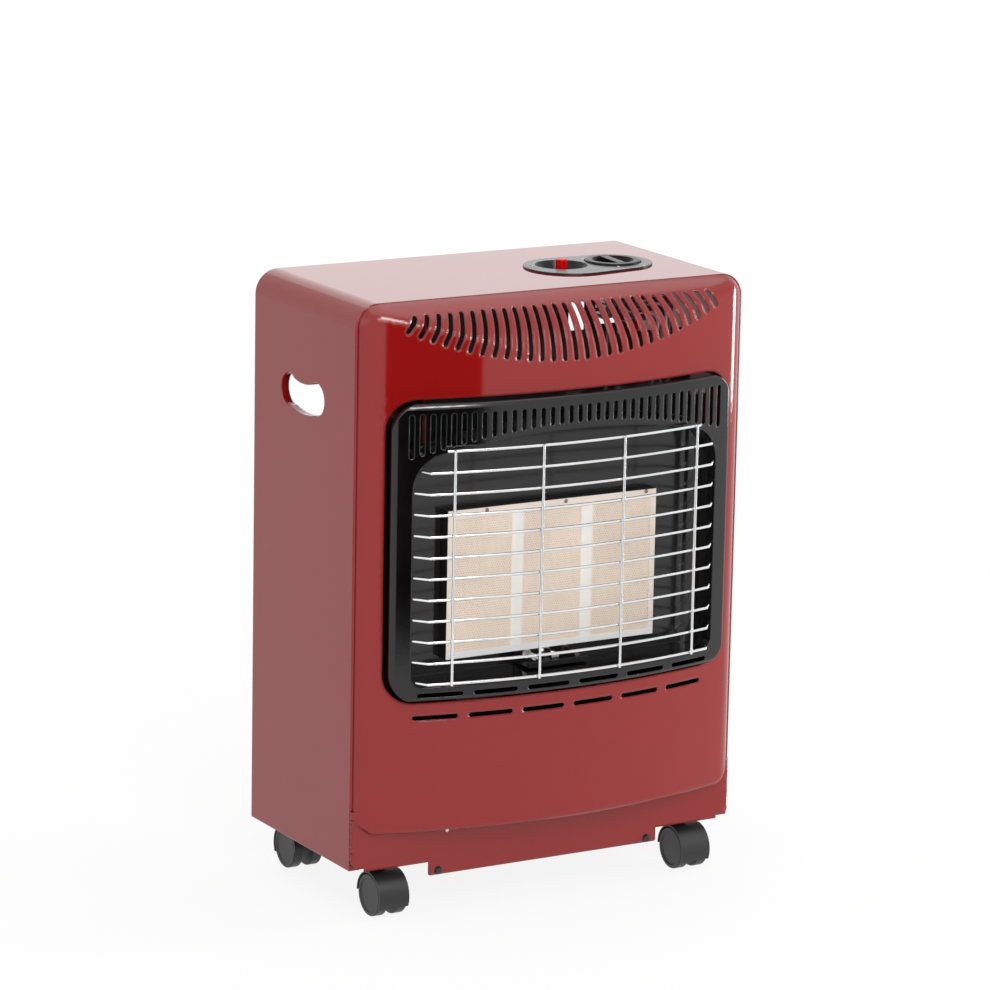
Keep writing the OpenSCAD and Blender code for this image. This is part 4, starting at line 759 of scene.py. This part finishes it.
EDGE_STEP = 4
window_half = arc_points(157.5, 192, 29, -90, 0, 9) + arc_points(157.5, 423, 29, 0, 90, 9)
window = spaced(mirrored(window_half), EDGE_STEP)
face_half = arc_points(SIDE - CORNER, LIP + CORNER, CORNER, -90, 0, 12) + corner_outline()
face_outline = spaced(mirrored(face_half), EDGE_STEP)
face_fill = np.concatenate([lattice(*block) for block in (
    (-205, 205, 44, 455, 6, 5), (-205, 205, 455, 539.5, 2.6, 2.25), (-205, 205, LIP + 1, 44, 4, 1.5),
    (190, 207.5, 60, 455, 2.2, 5), (-207, -190, 60, 455, 2.2, 5),
    (180, 207.5, 44.5, 59.5, 2, 1.5), (-207, -180, 44.5, 59.5, 2, 1.5))])
skirt_half = (arc_points(124.5, -13, 2, -90, 0, 4) + [(126.5, -1.5), (196, -1.5), (196, 2)]
              + arc_points(202, 10, 8, -90, 0, 6) + [(210, 58)])
skirt_outline = spaced(mirrored(skirt_half), EDGE_STEP)
screw_holes = [arc_points(s * 116, -11, 2.2, 0, 345, 23) for s in (-1, 1)]
skirt_fill = np.concatenate([lattice(*block) for block in (
    (-206, 206, -14, 57, 8, 8), (207, 210, 4, 57, 1, 5), (-209.5, -206.5, 4, 57, 1, 5))])
panel_points, panel_faces, panel_normals = [], [], {}
for outline, holes, fill, depth, tuck in (
        (face_outline, louvres + vents + [window], face_fill, face_depth, SKIRT - 0.8),
        (skirt_outline, screw_holes, skirt_fill, skirt_depth, NO_TUCK)):
    points, faces, normals, fronts = pressed_sheet(outline, holes, fill, depth, tuck)
    base = len(panel_points)
    for k, face in enumerate(faces):
        if k < fronts:
            panel_normals[len(panel_faces)] = [normals[v] for v in face]
        panel_faces.append(tuple(base + int(v) for v in face))
    panel_points += [tuple(at(*p)) for p in points]

pressed_enamel = red_coat("pressed_enamel", 0.0036)
front_skin = mesh_piece("front_skin", panel_points, panel_faces, "cabinet", "red_paint", pressed_enamel)
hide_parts("front_panel")
front_skin.data.update()
loop_normals = []
for face in front_skin.data.polygons:
    loop_normals += panel_normals.get(face.index, [face.normal] * len(face.vertices))
front_skin.data.polygons.foreach_set("use_smooth", [True] * len(front_skin.data.polygons))
front_skin.data.normals_split_custom_set([tuple(n) for n in loop_normals])

black_enamel = grained("black_enamel", (0.0028, 0.0022, 0.0023), 0.12, size=380, height=0.04, edge=0.0018,
                       Specular_IOR_Level=0.55)
dress(black_enamel, "fire_surround")

# ---- guard -------------------------------------------------------------------------
# Bright plated wires, spot welded where they cross.

bright_wire = grained("bright_wire", (0.78, 0.79, 0.80), 0.16, size=900, height=0.05, Metallic=1.0)
dress(bright_wire, "guard_grille")

# ---- controls ----------------------------------------------------------------------
# A black moulded bezel, the knob of the tap and the red igniter button. After them come the
# screws at the panel's foot, and the plain light marks on the bezel.

black_moulded = grained("black_moulded", (0.010, 0.010, 0.011), 0.24, size=1500, height=0.06, edge=0.0008,
                        Specular_IOR_Level=0.28)
knob_moulded = grained("knob_moulded", (0.006, 0.006, 0.0065), 0.3, size=1500, height=0.06, edge=0.0008,
                       Specular_IOR_Level=0.15)
red_button = grained("red_button", (0.58, 0.0006, 0.0012), 0.3, size=900, height=0.03,
                     Specular_IOR_Level=0.12)
black_plated = grained("black_plated", (0.015, 0.015, 0.015), 0.35, size=900, height=0.05)
dress(black_moulded, "control_bezel", "igniter_body", "igniter_nut")
dress(knob_moulded, "control_knob")
dress(turned_steel, "tap_spindle")
dress(red_button, "igniter_button")
dress(black_plated, "panel_screws")

LIP_SCREW_X, LIP_SCREW_IN = -122.0, 2.6
lip_y = -float(face_depth(np.array([LIP_SCREW_X]), np.array([LIP + LIP_ROLL]))[0])
lip_spot = (LIP_SCREW_X, lip_y + LIP_SCREW_IN, LIP + 1.6)
mesh_piece("lip_screw", *turned([lip_spot], SCREW_HEAD, True), "cabinet", "screw_black", turned_steel)

BEZEL_TOP = 541.55
MARK = [(1.3, 0), (1.3, 0.15), (0, 0.16)]
MARK_SPOTS = [(x, y, BEZEL_TOP) for x, y in ((112, 66.7), (138.3, 62.9), (102, 116.7), (38.3, 103.5))]
white_mark = grained("white_mark", (0.75, 0.75, 0.75), 0.5, size=900, height=0.05)
mesh_piece("bezel_marks", *turned(MARK_SPOTS, MARK, False), "cabinet", "bezel_plastic", white_mark)
